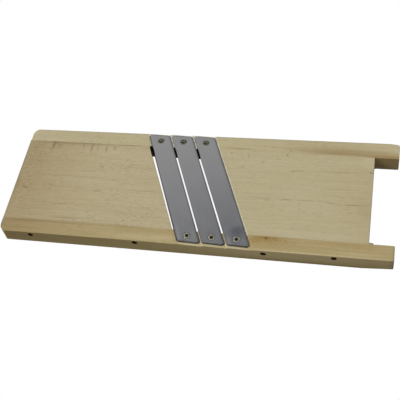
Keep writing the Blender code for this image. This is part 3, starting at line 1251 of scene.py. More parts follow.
@dataclass(frozen=True)
class WoodScrew:
    """A countersunk cross-recess wood screw, its head's rim at z = 0 and its point below."""

    name: str
    head_radius: float
    core_radius: float
    length: float
    hole_radius: float
    pitch: float
    thread_depth: float
    dome: float = 0.00034
    rim_share: float = 0.08
    rim_foot_share: float = 0.985
    rim_rows: tuple[float, float] = (0.75, 0.25)
    shoulder: tuple[float, float] = (0.975, 0.05)
    dome_rows: tuple[float, ...] = (0.9, 0.75, 0.6, 0.3)
    plain_share: float = 0.3
    tip_share: float = 1.3
    crest_steepness: float = 3.2
    crest_lead: float = 1.5
    mouth_flare: float = 2.0
    recess_reach_share: float = 0.56
    recess_arm_share: float = 0.17
    recess_depth_share: float = 0.56
    recess_floor_share: float = 0.35
    recess_point_share: float = 1.25
    recess_end_bulge: float = 1.06
    recess_fillet: float = 1.35
    sides: int = 32
    rows_per_turn: int = 8

    @property
    def rim(self) -> float:
        """Height of the thin rim round the head."""
        return self.head_radius * self.rim_share

    @property
    def neck(self) -> float:
        """How far below the rim's top the head's cone ends."""
        return self.rim + self.head_radius - self.core_radius

    def build(self, finish: Material, recess_finish: Material) -> Mesh:
        """Make the screw's mesh.

        Args:
            finish: The plated surface.
            recess_finish: The recess's finish, grime with painted shade or worn steel.

        Returns:
            The mesh, which every screw of this kind shares.
        """
        shape = bmesh.new()
        rings = [ring(shape, 0, -self.length, self.sides)]
        rings += [self._thread_ring(shape, height) for height in self._thread_rows()]
        rings += [ring(shape, radius, height, self.sides) for radius, height in self._head_rows()]
        skin_rings(shape, rings)
        screw = as_object(self.name, shape, (finish, recess_finish))
        recess = as_cutter(self.name + "_recess", self._recess(), Face.FRESH, Matrix.Identity(4))
        carve(screw, [recess])
        discard([recess])
        smooth(screw)
        mesh = screw.data
        bpy.data.objects.remove(screw)
        return mesh

    def hole(self, above: float, mouth: float = 0.0) -> Shape:
        """Return the hole that the screw lies in.

        Args:
            above: How far the hole runs on above the head.
            mouth: How much its mouth is opened out where it leaves the wood, if at all.

        Returns:
            The hole as a solid.
        """
        wide = self.head_radius + self.hole_radius - self.core_radius
        bottom = -self.length - self.hole_radius + self.core_radius
        profile = [(0, bottom), (self.hole_radius, bottom)]
        profile += [(self.hole_radius, -self.neck), (wide, -self.rim)]
        if mouth:
            profile += [(wide, above - mouth * self.mouth_flare), (wide + mouth, above)]
            profile += [(wide + mouth, above + wide), (0, above + wide)]
        else:
            profile += [(wide, above), (0, above)]
        return turned(profile, self.sides)

    def _head_rows(self) -> list[tuple[float, float]]:
        """Return the head's outline.

        Returns:
            The radius and height of each row, from the neck up to the dome's top.
        """
        shoulder, lift = self.shoulder
        rows = [(self.core_radius, -self.neck), (self.head_radius * self.rim_foot_share, -self.rim)]
        rows += [(self.head_radius, -self.rim * share) for share in self.rim_rows]
        rows += [(self.head_radius * shoulder, self.dome * lift)]
        rows += [(self.head_radius * share, self.dome * (1 - share**2)) for share in self.dome_rows]
        return rows + [(0, self.dome)]

    def _thread_rows(self) -> list[float]:
        """Return where the thread's rows lie.

        Returns:
            Their heights, from the point up to the neck.
        """
        step = self.pitch / self.rows_per_turn
        low = -self.length + step
        count = int((-self.neck - low) / step)
        return [low + step * row for row in range(count)]

    def _thread_ring(self, shape: Shape, height: float) -> Ring:
        """Add one row of the helical thread, which thins out at the point and the shank.

        Args:
            shape: The solid being made.
            height: The row's height.

        Returns:
            The row's corners in order.
        """
        tip = self.head_radius * self.tip_share
        taper = min(1.0, (height + self.length) / tip)
        plain_from = -self.neck - (self.length - self.neck) * self.plain_share
        fade = max(0.0, min(1.0, (plain_from - height) / self.pitch))
        lead = min(1.0, taper * self.crest_lead)
        row = []
        for side in range(self.sides):
            turn = side / self.sides
            phase = (height / self.pitch - turn) % 1.0
            crest = max(0.0, 1 - abs(phase - 0.5) * self.crest_steepness)
            radius = self.core_radius * taper + self.thread_depth * crest * fade * lead
            angle = 2 * math.pi * turn
            row.append(shape.verts.new((radius * math.cos(angle), radius * math.sin(angle), height)))
        return row

    def _recess(self) -> Shape:
        """Return the tapered cross that a screwdriver fits.

        Returns:
            The cross as a solid that runs on above the head.
        """
        reach = self.head_radius * self.recess_reach_share
        arm = self.head_radius * self.recess_arm_share
        depth = self.head_radius * self.recess_depth_share
        fillet = arm * self.recess_fillet
        quarter = [(reach, -arm), (reach * self.recess_end_bulge, 0), (reach, arm), (fillet, fillet)]
        cross = []
        for turn in range(4):
            cosine = math.cos(turn * math.pi / 2)
            sine = math.sin(turn * math.pi / 2)
            cross += [(x * cosine - y * sine, x * sine + y * cosine) for x, y in quarter]
        shape = bmesh.new()
        rings = [ring(shape, 0, -depth * self.recess_point_share, self.sides)]
        for height in (-depth, self.rim + self.dome):
            share = 1 + (1 - self.recess_floor_share) * height / depth
            rings.append([shape.verts.new((x * share, y * share, height)) for x, y in cross])
        skin_rings(shape, rings)
        shape.faces.new(rings[-1])
        return shape


@dataclass
class KnifeScrews:
    """The six screws that hold the knives down."""

    plan: Plan
    kind: WoodScrew = WoodScrew(
        "knife_screw",
        head_radius=0.004,
        core_radius=0.00125,
        length=0.016,
        hole_radius=0.0018,
        pitch=0.0018,
        thread_depth=0.0004,
    )
    turns: tuple[float, ...] = (0.35, 0.66, 0.75, 0.52, 1.3, 0.6)

    def place(self, index: int, side: Side) -> Matrix:
        """Return where the head of one screw lies.

        Args:
            index: The knife's place in the group, from 0.
            side: The end of the knife that the screw holds.

        Returns:
            The screw's frame, its +Z out of the knife.
        """
        plan = self.plan
        y = plan.seat_y(index, 0, plan.knife_screw_y(side))
        top = plan.knife_lift + plan.knife_thickness
        return plan.seat_place(index) @ Matrix.Translation((0, y, top))

    def cutter(self, index: int, side: Side) -> Object:
        """Return the cutter of one screw's hole."""
        shape = self.kind.hole(self.plan.knife_thickness)
        return as_cutter(f"hole_{index}_{side.value}", shape, Face.BORED, self.place(index, side))

    def build(self, steels: dict[Steel, Material]) -> None:
        """Make and dress the screws, each with its slots left at an angle of its own.

        Args:
            steels: The finishes; those of the back screws are more worn.
        """
        finishes = {
            # The front recesses take grime with painted shade.
            Side.FRONT: (steels[Steel.ZINC], steels[Steel.GRIME_AND_SHADE]),
            Side.BACK: (steels[Steel.TARNISHED_ZINC], steels[Steel.WORN_RECESS]),
        }
        meshes = {side: self.kind.build(*pair) for side, pair in finishes.items()}
        turns = iter(self.turns)
        for index in range(self.plan.knife_count):
            for side in Side:
                place = self.place(index, side) @ Matrix.Rotation(next(turns), 4, "Z")
                screw = stand(f"knife_screw_{side.value}_{index + 1}", meshes[side], place)
                install(screw, f"blade_{index + 1}_screw_{side.value}")


@dataclass
class BedScrews:
    """The eight screws sunk in the rails' outer faces."""

    kind: WoodScrew = WoodScrew(
        "sunk_screw",
        head_radius=0.0027,
        core_radius=0.0011,
        length=0.030,
        hole_radius=0.0017,
        pitch=0.0016,
        thread_depth=0.00045,
    )
    sink: float = 0.0045
    mouth: float = 0.00035
    per_rail: int = 4
    turn_step: float = 0.7

    def place(self, number: int, side: Side) -> Matrix:
        """Return where the head of one screw lies.

        Args:
            number: The screw's number along the rail, from 1.
            side: The rail that it is sunk in.

        Returns:
            The screw's frame, its +Z out of the rail.
        """
        low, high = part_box(f"bed_screw_{side.value}_{number}")
        middle = (low + high) / 2
        outer_y, turn = (low.y, math.pi / 2) if side is Side.FRONT else (high.y, -math.pi / 2)
        return Matrix.Translation((middle.x, outer_y, middle.z)) @ Matrix.Rotation(turn, 4, "X")

    def numbers(self) -> range:
        """Return the numbers of the screws along one rail."""
        return range(1, self.per_rail + 1)

    def cutters(self, side: Side) -> list[Object]:
        """Make the cutters of the holes in one rail.

        Args:
            side: The rail.

        Returns:
            The cutters in the order of the screws' numbers.
        """
        made = []
        for number in self.numbers():
            shape = self.kind.hole(self.sink, self.mouth)
            place = self.place(number, side)
            made.append(as_cutter(f"bore_{side.value}_{number}", shape, Face.BORED, place))
        return made

    def build(self, steels: dict[Steel, Material]) -> None:
        """Make and dress the screws.

        Args:
            steels: The finishes.
        """
        # Both steels carry painted shade for the screws' depth in their holes.
        mesh = self.kind.build(steels[Steel.SHADED_SUNK_SCREW], steels[Steel.GRIME_AND_SHADE])
        for side in Side:
            for number in self.numbers():
                place = self.place(number, side) @ Matrix.Rotation(number * self.turn_step, 4, "Z")
                screw = stand(f"sunk_screw_{side.value}_{number}", mesh, place)
                install(screw, f"bed_screw_{side.value}_{number}")


# Boards


def left_bed_beech(plan: Plan) -> Beech:
    """Choose the left bed's wood, dark along its back seam, with brown rays, a warm left end and painted
    shade where its slanted end meets the first mouth.

    Args:
        plan: The board's plan.

    Returns:
        The finish.
    """
    mouth = (plan.first_mouth_x, plan.dark_mouth_y)
    return Beech(
        name="left_bed_beech",
        pale=(0.443, 0.378, 0.231),
        shade=(0.360, 0.286, 0.158),
        top=plan.top,
        lean=0.006,
        seed=1.3,
        fleck_share=0.60,
        patches=(
            Patch(-0.258, 0.0, 0.150, 0.20, 0.36, Tint.WARM, core=0.15),
            Patch(-0.262, 0.0, 0.090, 0.120, 0.29, core=0.2, mottle=1.0),
            Patch(-0.2125, 0.0560, 0.0040, 0.0105, 0.74),
            Patch(-0.2045, 0.0555, 0.0026, 0.0080, 0.36),
            Patch(-0.2165, 0.0500, 0.0034, 0.0032, 0.36),
            Patch(-0.2110, 0.0605, 0.0085, 0.0030, 0.38),
            Patch(-0.2030, 0.0575, 0.0080, 0.0100, 0.34, mottle=0.6),
            Patch(-0.2350, 0.0550, 0.0190, 0.0130, 0.34, mottle=0.8),
            Patch(-0.1850, 0.0605, 0.0700, 0.0080, 0.32, mottle=0.9),
            Patch(-0.1700, 0.0600, 0.1000, 0.0040, 0.26, mottle=0.6),
            Patch(-0.2350, 0.0350, 0.0300, 0.0260, 0.24, mottle=1.0),
            Patch(-0.1680, 0.0575, 0.0024, 0.0065, 0.50),
            Patch(-0.1555, 0.0545, 0.0024, 0.0110, 0.62),
            Patch(-0.1470, 0.0550, 0.0018, 0.0080, 0.40),
            Patch(-0.1340, 0.0535, 0.0024, 0.0085, 0.62),
            Patch(-0.1225, 0.0560, 0.0020, 0.0065, 0.50),
            Patch(-0.1030, 0.0610, 0.0230, 0.0013, 0.60),
            Patch(-0.1020, 0.0556, 0.0240, 0.0010, 0.34),
            Patch(-0.1720, 0.0610, 0.0950, 0.0018, 0.30, lean=plan.seam_lean, core=0.2),
            Patch(-0.2345, -0.0140, 0.0078, 0.0018, 0.66, core=0.2),
            Patch(-0.2390, -0.0104, 0.0060, 0.0014, 0.52),
            Patch(-0.1300, -0.0135, 0.0085, 0.0012, 0.74),
            Patch(-0.1400, 0.0075, 0.0050, 0.0009, 0.54),
            Patch(-0.1700, 0.0075, 0.0950, 0.0009, 0.34),
            Patch(-0.1500, -0.0100, 0.1100, 0.0008, 0.28),
            Patch(-0.0570, -0.0092, 0.0070, 0.0011, 0.46),
            Patch(-0.0750, -0.0097, 0.0330, 0.0008, 0.26),
            Patch(-0.1740, -0.0364, 0.0150, 0.0010, 0.52),
            Patch(-0.1640, -0.0568, 0.0290, 0.0020, 0.46),
            Patch(-0.1500, 0.0165, 0.0180, 0.0009, 0.34),
            Patch(-0.0830, -0.0485, 0.0600, 0.0007, 0.24),
            Patch(-0.1990, -0.0140, 0.0090, 0.0011, 0.32, lean=-0.5),
            Patch(-0.2370, 0.0410, 0.0024, 0.0013, 0.60),
            Patch(-0.2280, 0.0405, 0.0020, 0.0010, 0.44),
            Patch(-0.2200, 0.0412, 0.0024, 0.0012, 0.54),
            Patch(-0.1900, 0.0402, 0.0024, 0.0011, 0.50),
            Patch(-0.1680, 0.0460, 0.0022, 0.0014, 0.56),
            Patch(-0.1370, 0.0390, 0.0026, 0.0012, 0.46),
            Patch(-0.1320, 0.0250, 0.0040, 0.0011, 0.56),
            Patch(-0.1000, 0.0240, 0.0036, 0.0010, 0.50),
            Patch(-0.2330, 0.0030, 0.0026, 0.0013, 0.46),
            Patch(-0.2410, 0.0175, 0.0026, 0.0013, 0.54),
            Patch(-0.2420, 0.0300, 0.0030, 0.0013, 0.46),
            Patch(-0.2470, -0.0100, 0.0040, 0.0300, 0.26),
            Patch(-0.1400, -0.0613, 0.1200, 0.0009, 0.40),
            Patch(-0.2500, 0.0, 0.0020, 0.12, 0.34, Tint.DULL, core=0.2),
            Patch(-0.2500, 0.0, 0.0042, 0.12, 0.28, Tint.DULL, core=0.3),
            # Painted shade: the slanted end at the first mouth is painted near black, as shade under the
            # knives.
            Patch(*mouth, 0.0011, 0.0105, 0.98, Tint.PAINTED_SHADE, lean=plan.slant, core=0.75, depth=0.05),
        ),
    )


def right_bed_beech(plan: Plan) -> Beech:
    """Choose the right bed's wood, paler, with single knots and one long fine streak.

    Args:
        plan: The board's plan.

    Returns:
        The finish.
    """
    return Beech(
        name="right_bed_beech",
        pale=(0.452, 0.396, 0.240),
        shade=(0.385, 0.318, 0.180),
        top=plan.top,
        lean=-0.004,
        seed=4.1,
        fleck_share=0.36,
        patches=(
            Patch(0.2350, -0.0150, 0.1100, 0.12, 0.22, Tint.WARM),
            Patch(0.2150, -0.0220, 0.0160, 0.0130, 0.18, Tint.WARM),
            Patch(0.2150, 0.0520, 0.0160, 0.0140, 0.30, Tint.PALE),
            Patch(0.1500, -0.0560, 0.1000, 0.0070, 0.20, Tint.PALE),
            Patch(0.0390, 0.0570, 0.0020, 0.0016, 0.66),
            Patch(0.0620, 0.0535, 0.0012, 0.0038, 0.58, lean=0.3),
            Patch(0.1120, 0.0572, 0.0018, 0.0028, 0.74),
            Patch(0.0820, 0.0450, 0.0042, 0.0014, 0.48),
            Patch(0.1010, 0.0500, 0.0030, 0.0011, 0.36),
            Patch(0.0570, 0.0365, 0.0056, 0.0011, 0.50),
            Patch(0.0400, 0.0320, 0.0040, 0.0010, 0.40),
            Patch(0.0970, 0.0065, 0.0040, 0.0009, 0.34),
            Patch(0.1220, 0.0332, 0.0040, 0.0016, 0.70),
            Patch(0.1310, 0.0340, 0.0110, 0.0012, 0.44),
            Patch(0.1750, 0.0352, 0.0480, 0.0009, 0.34, lean=0.01),
            Patch(0.2175, 0.0366, 0.0026, 0.0018, 0.74),
            Patch(0.1820, 0.0098, 0.0420, 0.0009, 0.28),
            Patch(0.0850, -0.0088, 0.0330, 0.0010, 0.44, lean=-0.02),
            Patch(0.1180, -0.0092, 0.0130, 0.0011, 0.54),
            Patch(0.1450, -0.0084, 0.0260, 0.0010, 0.44, lean=0.02),
            Patch(0.1720, -0.0104, 0.0160, 0.0010, 0.50, lean=-0.11),
            Patch(0.2010, -0.0114, 0.0210, 0.0012, 0.62, lean=0.03),
            Patch(0.1920, -0.0180, 0.0042, 0.0012, 0.44),
            Patch(0.0910, -0.0205, 0.0026, 0.0015, 0.34),
            Patch(0.1790, 0.0606, 0.0600, 0.0009, 0.34, lean=plan.seam_lean),
            Patch(0.0700, 0.0612, 0.0600, 0.0009, 0.46, lean=plan.seam_lean),
            Patch(plan.bed_end, 0.0, 0.0013, 0.12, 0.40, Tint.DULL, core=0.2),
            Patch(plan.bed_end + 0.0030, -0.0608, 0.0045, 0.0024, 0.70, Tint.DULL, core=0.4),
        ),
    )


def front_rail_beech(plan: Plan) -> Beech:
    """Choose the front rail's wood, browner, with a worn patch beside the knives, pale edges and painted
    shade along the bottom of its front face.

    Args:
        plan: The board's plan.

    Returns:
        The finish.
    """
    return Beech(
        name="front_rail_beech",
        pale=(0.395, 0.315, 0.152),
        shade=(0.305, 0.225, 0.098),
        top=plan.top,
        lean=0.012,
        seed=7.7,
        pith=(0.02, -0.035),
        ring_share=0.10,
        streak_share=0.34,
        brown=(0.165, 0.098, 0.032),
        warm=(0.30, 0.190, 0.052),
        light=(0.55, 0.465, 0.275),
        patches=(
            Patch(-0.2600, -0.0740, 0.1700, 0.0300, 0.36, depth=0.05),
            Patch(-0.2200, -0.0648, 0.0450, 0.0036, 0.36),
            Patch(-0.1600, -0.0642, 0.0950, 0.0028, 0.34),
            Patch(-0.0800, -0.0635, 0.0500, 0.0018, 0.26),
            Patch(-0.0600, -0.0760, 0.0700, 0.0070, 0.36, Tint.PALE),
            Patch(-0.0250, -0.0740, 0.0300, 0.0060, 0.34, Tint.PALE),
            Patch(0.1000, -0.0650, 0.0300, 0.0066, 0.72, Tint.WARM, core=0.2),
            Patch(0.0870, -0.0690, 0.0130, 0.0070, 0.66, Tint.WARM),
            Patch(0.1080, -0.0700, 0.0400, 0.0110, 0.34, Tint.WARM),
            Patch(0.0830, -0.0655, 0.0045, 0.0007, 0.60, Tint.PALE, lean=-0.7),
            Patch(0.0870, -0.0675, 0.0045, 0.0007, 0.50, Tint.PALE, lean=-0.7),
            Patch(0.1075, -0.0640, 0.0020, 0.0009, 0.55, Tint.PALE),
            Patch(0.1020, -0.0640, 0.0230, 0.0022, 0.40),
            Patch(0.1005, -0.0648, 0.0036, 0.0030, 0.86, core=0.2),
            Patch(0.1120, -0.0665, 0.0050, 0.0010, 0.46, lean=-0.2),
            Patch(0.0860, -0.0668, 0.0060, 0.0010, 0.50, lean=-0.5),
            Patch(0.1240, -0.0665, 0.0028, 0.0012, 0.50),
            Patch(0.1900, -0.0660, 0.0600, 0.0036, 0.30, Tint.WARM),
            Patch(0.2150, -0.0690, 0.0300, 0.0030, 0.30, Tint.WARM),
            Patch(0.2100, -0.0770, 0.0500, 0.0040, 0.30, Tint.PALE),
            Patch(0.1300, -0.0830, 0.2300, 0.0050, 0.60, Tint.PALE, core=0.1, depth=0.032),
            # Painted shade: the front face darkens towards its bottom edge, as shade near the floor.
            Patch(0.1400, -0.0820, 0.2300, 0.0100, 0.34, depth=0.0110, drop=0.0250),
            Patch(0.1500, -0.0820, 0.1900, 0.0100, 0.45, depth=0.0035, drop=0.0245),
            Patch(-0.2500, -0.0720, 0.0050, 0.02, 0.46, Tint.DULL, core=0.3, depth=0.06),
            Patch(0.2500, -0.0720, 0.0024, 0.02, 0.60, Tint.DULL, core=0.3, depth=0.06),
            Patch(0.2500, -0.0820, 0.0060, 0.0060, 0.42, Tint.DULL, core=0.3, depth=0.08),
            Patch(0.2350, plan.front_seam, 0.0180, 0.0011, 0.55, Tint.DULL, core=0.3),
        ),
    )


def back_rail_beech(plan: Plan) -> Beech:
    """Choose the back rail's wood, with warm bands, painted shade on its inner face behind the mouths and
    painted shade on its ear's inner face.

    Args:
        plan: The board's plan.

    Returns:
        The finish.
    """
    return Beech(
        name="back_rail_beech",
        pale=(0.460, 0.406, 0.246),
        shade=(0.380, 0.305, 0.165),
        top=plan.top,
        lean=-0.03,
        seed=2.6,
        pith=(0.10, -0.03),
        ring_share=0.12,
        patches=(
            Patch(0.1500, 0.0725, 0.1100, 0.0300, 0.20, Tint.WARM),
            Patch(0.1950, 0.0650, 0.1000, 0.0090, 0.52, Tint.WARM, lean=-0.02, core=0.25),
            Patch(0.1800, 0.0632, 0.0500, 0.0034, 0.30),
            Patch(0.0450, 0.0645, 0.0400, 0.0030, 0.40, Tint.WARM, lean=-0.02),
            Patch(0.0520, 0.0637, 0.0320, 0.0009, 0.34, lean=-0.03),
            Patch(0.1160, 0.0640, 0.0026, 0.0016, 0.62),
            Patch(0.1050, 0.0680, 0.0600, 0.0020, 0.28, Tint.WARM, lean=-0.05),
            # Painted shade: a darker warm tone on the ear's inner face, where the bed's end shades it.
            Patch(0.2400, 0.0605, 0.0500, 0.0040, 0.75, Tint.WARM, core=0.3, depth=0.06),
            Patch(-0.1480, 0.0715, 0.0022, 0.0022, 0.34),
            # Painted shade: the inner face behind the mouths is painted near black, where shade falls under
            # the knives.
            Patch(-0.0265, 0.0612, 0.0505, 0.0016, 0.98, Tint.PAINTED_SHADE, plan.seam_lean, core=0.93, depth=0.10),
            Patch(0.0, plan.back, 0.50, 0.0016, 0.60, Tint.DULL, core=0.4),
        ),
    )


@dataclass
class Woodwork:
    """The two rails and the two beds."""

    plan: Plan
    edge_radius: float = 0.0009
    fine_edge: float = 0.00028
    edge_steps: int = 4
    fine_steps: int = 2
    corner_steps: int = 14
    front_corner: float = 0.0122
    front_corner_foot: float = 0.0036
    back_corner: float = 0.0150
    back_inset: float = 0.0007
    ear_corner: float = 0.0016
    back_ear_tip: float = 0.003
    back_taper_length: float = 0.012
    back_taper_depth: float = 0.0014
    relief_length: float = 0.036
    relief_height: float = 0.0035
    nib_length: float = 0.005
    nib_width: float = 0.0018
    nib_curve: tuple[tuple[float, float], ...] = ((1.0, 0.0), (0.97, 0.62), (0.55, 0.94), (0.0, 1.0))
    overrun: float = 0.002

    def build(self, knife_screws: KnifeScrews, bed_screws: BedScrews) -> None:
        """Make and dress all four boards.

        Args:
            knife_screws: The screws whose holes the rails have.
            bed_screws: The screws whose holes the rails and the beds have.
        """
        plan = self.plan
        finishes = self._finishes()
        seats = [
            as_cutter(f"seat_{index}", self._seat_shape(), Face.FRESH, plan.seat_place(index))
            for index in range(plan.knife_count)
        ]
        bores = {side: bed_screws.cutters(side) for side in Side}
        holes = {
            side: [knife_screws.cutter(index, side) for index in range(plan.knife_count)] for side in Side
        }
        half = len(bores[Side.FRONT]) // 2
        left_bores = bores[Side.FRONT][:half] + bores[Side.BACK][:half]
        right_bores = bores[Side.FRONT][half:] + bores[Side.BACK][half:]
        screwed = {side: bores[side] + holes[side] for side in Side}
        parts = (
            ("rail_front", Board.FRONT_RAIL, self._front_rail(), seats + screwed[Side.FRONT]),
            ("rail_back", Board.BACK_RAIL, self._back_rail(), seats + screwed[Side.BACK]),
            ("bed_left", Board.LEFT_BED, self._left_bed(), left_bores),
            ("bed_right", Board.RIGHT_BED, self._right_bed(), seats[-1:] + right_bores),
        )
        for name, board, shape, cutters in parts:
            piece = as_object(name, shape, finishes[board])
            carve(piece, cutters)
            smooth(piece)
            install(piece, board.value)
        discard(seats + screwed[Side.FRONT] + screwed[Side.BACK])

    def _finishes(self) -> dict[Board, tuple[Material, ...]]:
        """Make the wood of each board.

        Returns:
            The aged, the fresh and the bored wood of each board.
        """
        plan = self.plan
        woods = {
            Board.LEFT_BED: left_bed_beech(plan),
            Board.RIGHT_BED: right_bed_beech(plan),
            Board.FRONT_RAIL: front_rail_beech(plan),
            Board.BACK_RAIL: back_rail_beech(plan),
        }
        aged = {board: wood.build() for board, wood in woods.items()}
        fresh = FreshBeech().build()
        worn_mark = Patch(0.0825, -0.0740, 0.0028, 0.020, 0.95, Tint.WARM, lean=plan.slant, core=0.7)
        worn = FreshBeech("worn_cut_beech", (0.53, 0.465, 0.29), (0.42, 0.345, 0.185), patches=(worn_mark,))
        cuts = {Board.FRONT_RAIL: worn.build()}
        bored = ShadedBoreBeech().build()
        return {board: (wood, cuts.get(board, fresh), bored) for board, wood in aged.items()}

    def _front_rail(self) -> Shape:
        """Shape the front rail, with its conical corner and the relief under its ear.

        Returns:
            The rail before its seats and holes.
        """
        plan = self.plan
        outlines = []
        for radius in (self.front_corner_foot, self.front_corner):
            corners = [
                (plan.left, plan.front, radius),
                (plan.right, plan.front, self.ear_corner),
                (plan.right, plan.front_seam, self.ear_corner),
                (plan.left, plan.front_seam, 0),
            ]
            outlines.append(rounded_outline(corners, self.corner_steps))
        shape = block(*outlines, 0, plan.top)
        start = Vector((plan.right - self.relief_length, plan.front, 0))
        slice_off(shape, start, Vector((self.relief_height, 0, -self.relief_length)).normalized())
        self._free_ear(shape, lambda point: point.y > plan.front_seam - plan.fit)
        return shape

    def _back_rail(self) -> Shape:
        """Shape the back rail, which widens towards its ear.

        Returns:
            The rail before its seats and holes.
        """
        plan = self.plan
        left = plan.left + self.back_inset
        corners = [
            (left, plan.back_seam(left), 0),
            (plan.right, plan.back_seam(plan.right), self.ear_corner),
            (plan.right, plan.back - self.back_taper_depth, self.back_ear_tip),
            (plan.right - self.back_taper_length, plan.back, 0),
            (left, plan.back, self.back_corner),
        ]
        shape = prism(rounded_outline(corners, self.corner_steps), 0, plan.top)
        self._free_ear(shape, lambda point: point.y < plan.back_seam(point.x) + plan.fit)
        return shape

    def _free_ear(self, shape: Shape, on_seam: Callable[[Vector], bool]) -> None:
        """Round a rail's edges, along the seam only where its ear stands free.

        Args:
            shape: The rail.
            on_seam: Says whether a point lies on the face that the beds meet.
        """
        bed_end = self.plan.bed_end
        scores = [bed_end + self.overrun / 2, bed_end + self.overrun]
        held_to = sum(scores) / 2
        score(shape, Vector((1, 0, 0)), scores)

        def wanted(first: Vector, second: Vector) -> bool:
            """Leave upright edges, and the edges that the beds lie against."""
            held = on_seam((first + second) / 2) and min(first.x, second.x) < held_to
            return not (held or is_upright(first, second))

        round_edges(shape, self.edge_radius, self.edge_steps, wanted)

    def _left_bed(self) -> Shape:
        """Shape the bed that the cabbage slides along before it meets the first knife.

        Returns:
            The bed before its holes.
        """
        plan = self.plan
        front_across = -plan.half_group - plan.first_mouth_front
        back_across = -plan.half_group - plan.first_mouth_back
        low = plan.front_seam + plan.fit
        outlines = []
        for undercut in (plan.mouth_undercut, 0):
            end = plan.seam_x(back_across - undercut)
            outline = [
                (plan.left, low),
                (plan.slanted_x(front_across - undercut, low), low),
                (end, plan.back_seam(end) - plan.fit),
                (plan.left, plan.back_seam(plan.left) - plan.fit),
            ]
            outlines.append(outline)
        shape = block(*outlines, plan.top - plan.bed_thickness, plan.top)
        near_left = plan.left + self.overrun
        slope = math.tan(plan.slant)
        mouth = plan.slanted_x(back_across, 0) - self.overrun

        def at_left(first: Vector, second: Vector) -> bool:
            """Pick the two level edges of the left end."""
            return max(first.x, second.x) < near_left and not is_upright(first, second)

        def at_mouth(first: Vector, second: Vector) -> bool:
            """Pick the two level edges of the slanted end."""
            reached = all(point.x + point.y * slope > mouth for point in (first, second))
            return reached and not is_upright(first, second)

        round_edges(shape, self.edge_radius, self.edge_steps, at_left)
        round_edges(shape, self.fine_edge, self.fine_steps, at_mouth)
        return shape

    def _right_bed(self) -> Shape:
        """Shape the bed after the last knife, with the nib that its saw left.

        Returns:
            The bed before its seat and holes.
        """
        plan = self.plan
        across = plan.half_group - plan.underlap
        low = plan.front_seam + plan.fit
        end = plan.bed_end
        nib = [(end + self.nib_length * x, low + self.nib_width * y) for x, y in self.nib_curve]
        outline = [
            (plan.slanted_x(across, low), low),
            *nib,
            (end, plan.back_seam(end) - plan.fit),
            (plan.seam_x(across), plan.back_seam(plan.seam_x(across)) - plan.fit),
        ]
        shape = prism(outline, plan.top - plan.bed_thickness, plan.top)
        near_end = end - self.overrun

        def at_end(first: Vector, second: Vector) -> bool:
            """Pick the level edges of the right end and its nib."""
            return min(first.x, second.x) > near_end and not is_upright(first, second)

        round_edges(shape, self.fine_edge, self.fine_steps, at_end)
        return shape

    def _seat_shape(self) -> Shape:
        """Shape the bar that planes one saw-tooth seat.

        Returns:
            The bar as a solid, in its seat's own frame.
        """
        plan = self.plan
        half = plan.knife_width / 2
        low_x = half + plan.hole_slack
        surface_x = half + plan.knife_spacing - plan.seat_ridge
        surface_z = (surface_x + half) * math.tan(plan.tilt)
        climb = surface_z / (surface_x - low_x)
        profile = [
            (-half - plan.knife_spacing, 0),
            (low_x, 0),
            (surface_x + self.overrun / climb, surface_z + self.overrun),
            (-half - plan.knife_spacing, surface_z + self.overrun),
        ]
        length = plan.back - plan.front
        shape = bmesh.new()
        near, far = [[shape.verts.new((x, y, z)) for x, z in profile] for y in (-length, length)]
        shape.faces.new(near)
        shape.faces.new(far)
        skin(shape, near, far)
        return shape


# Knives


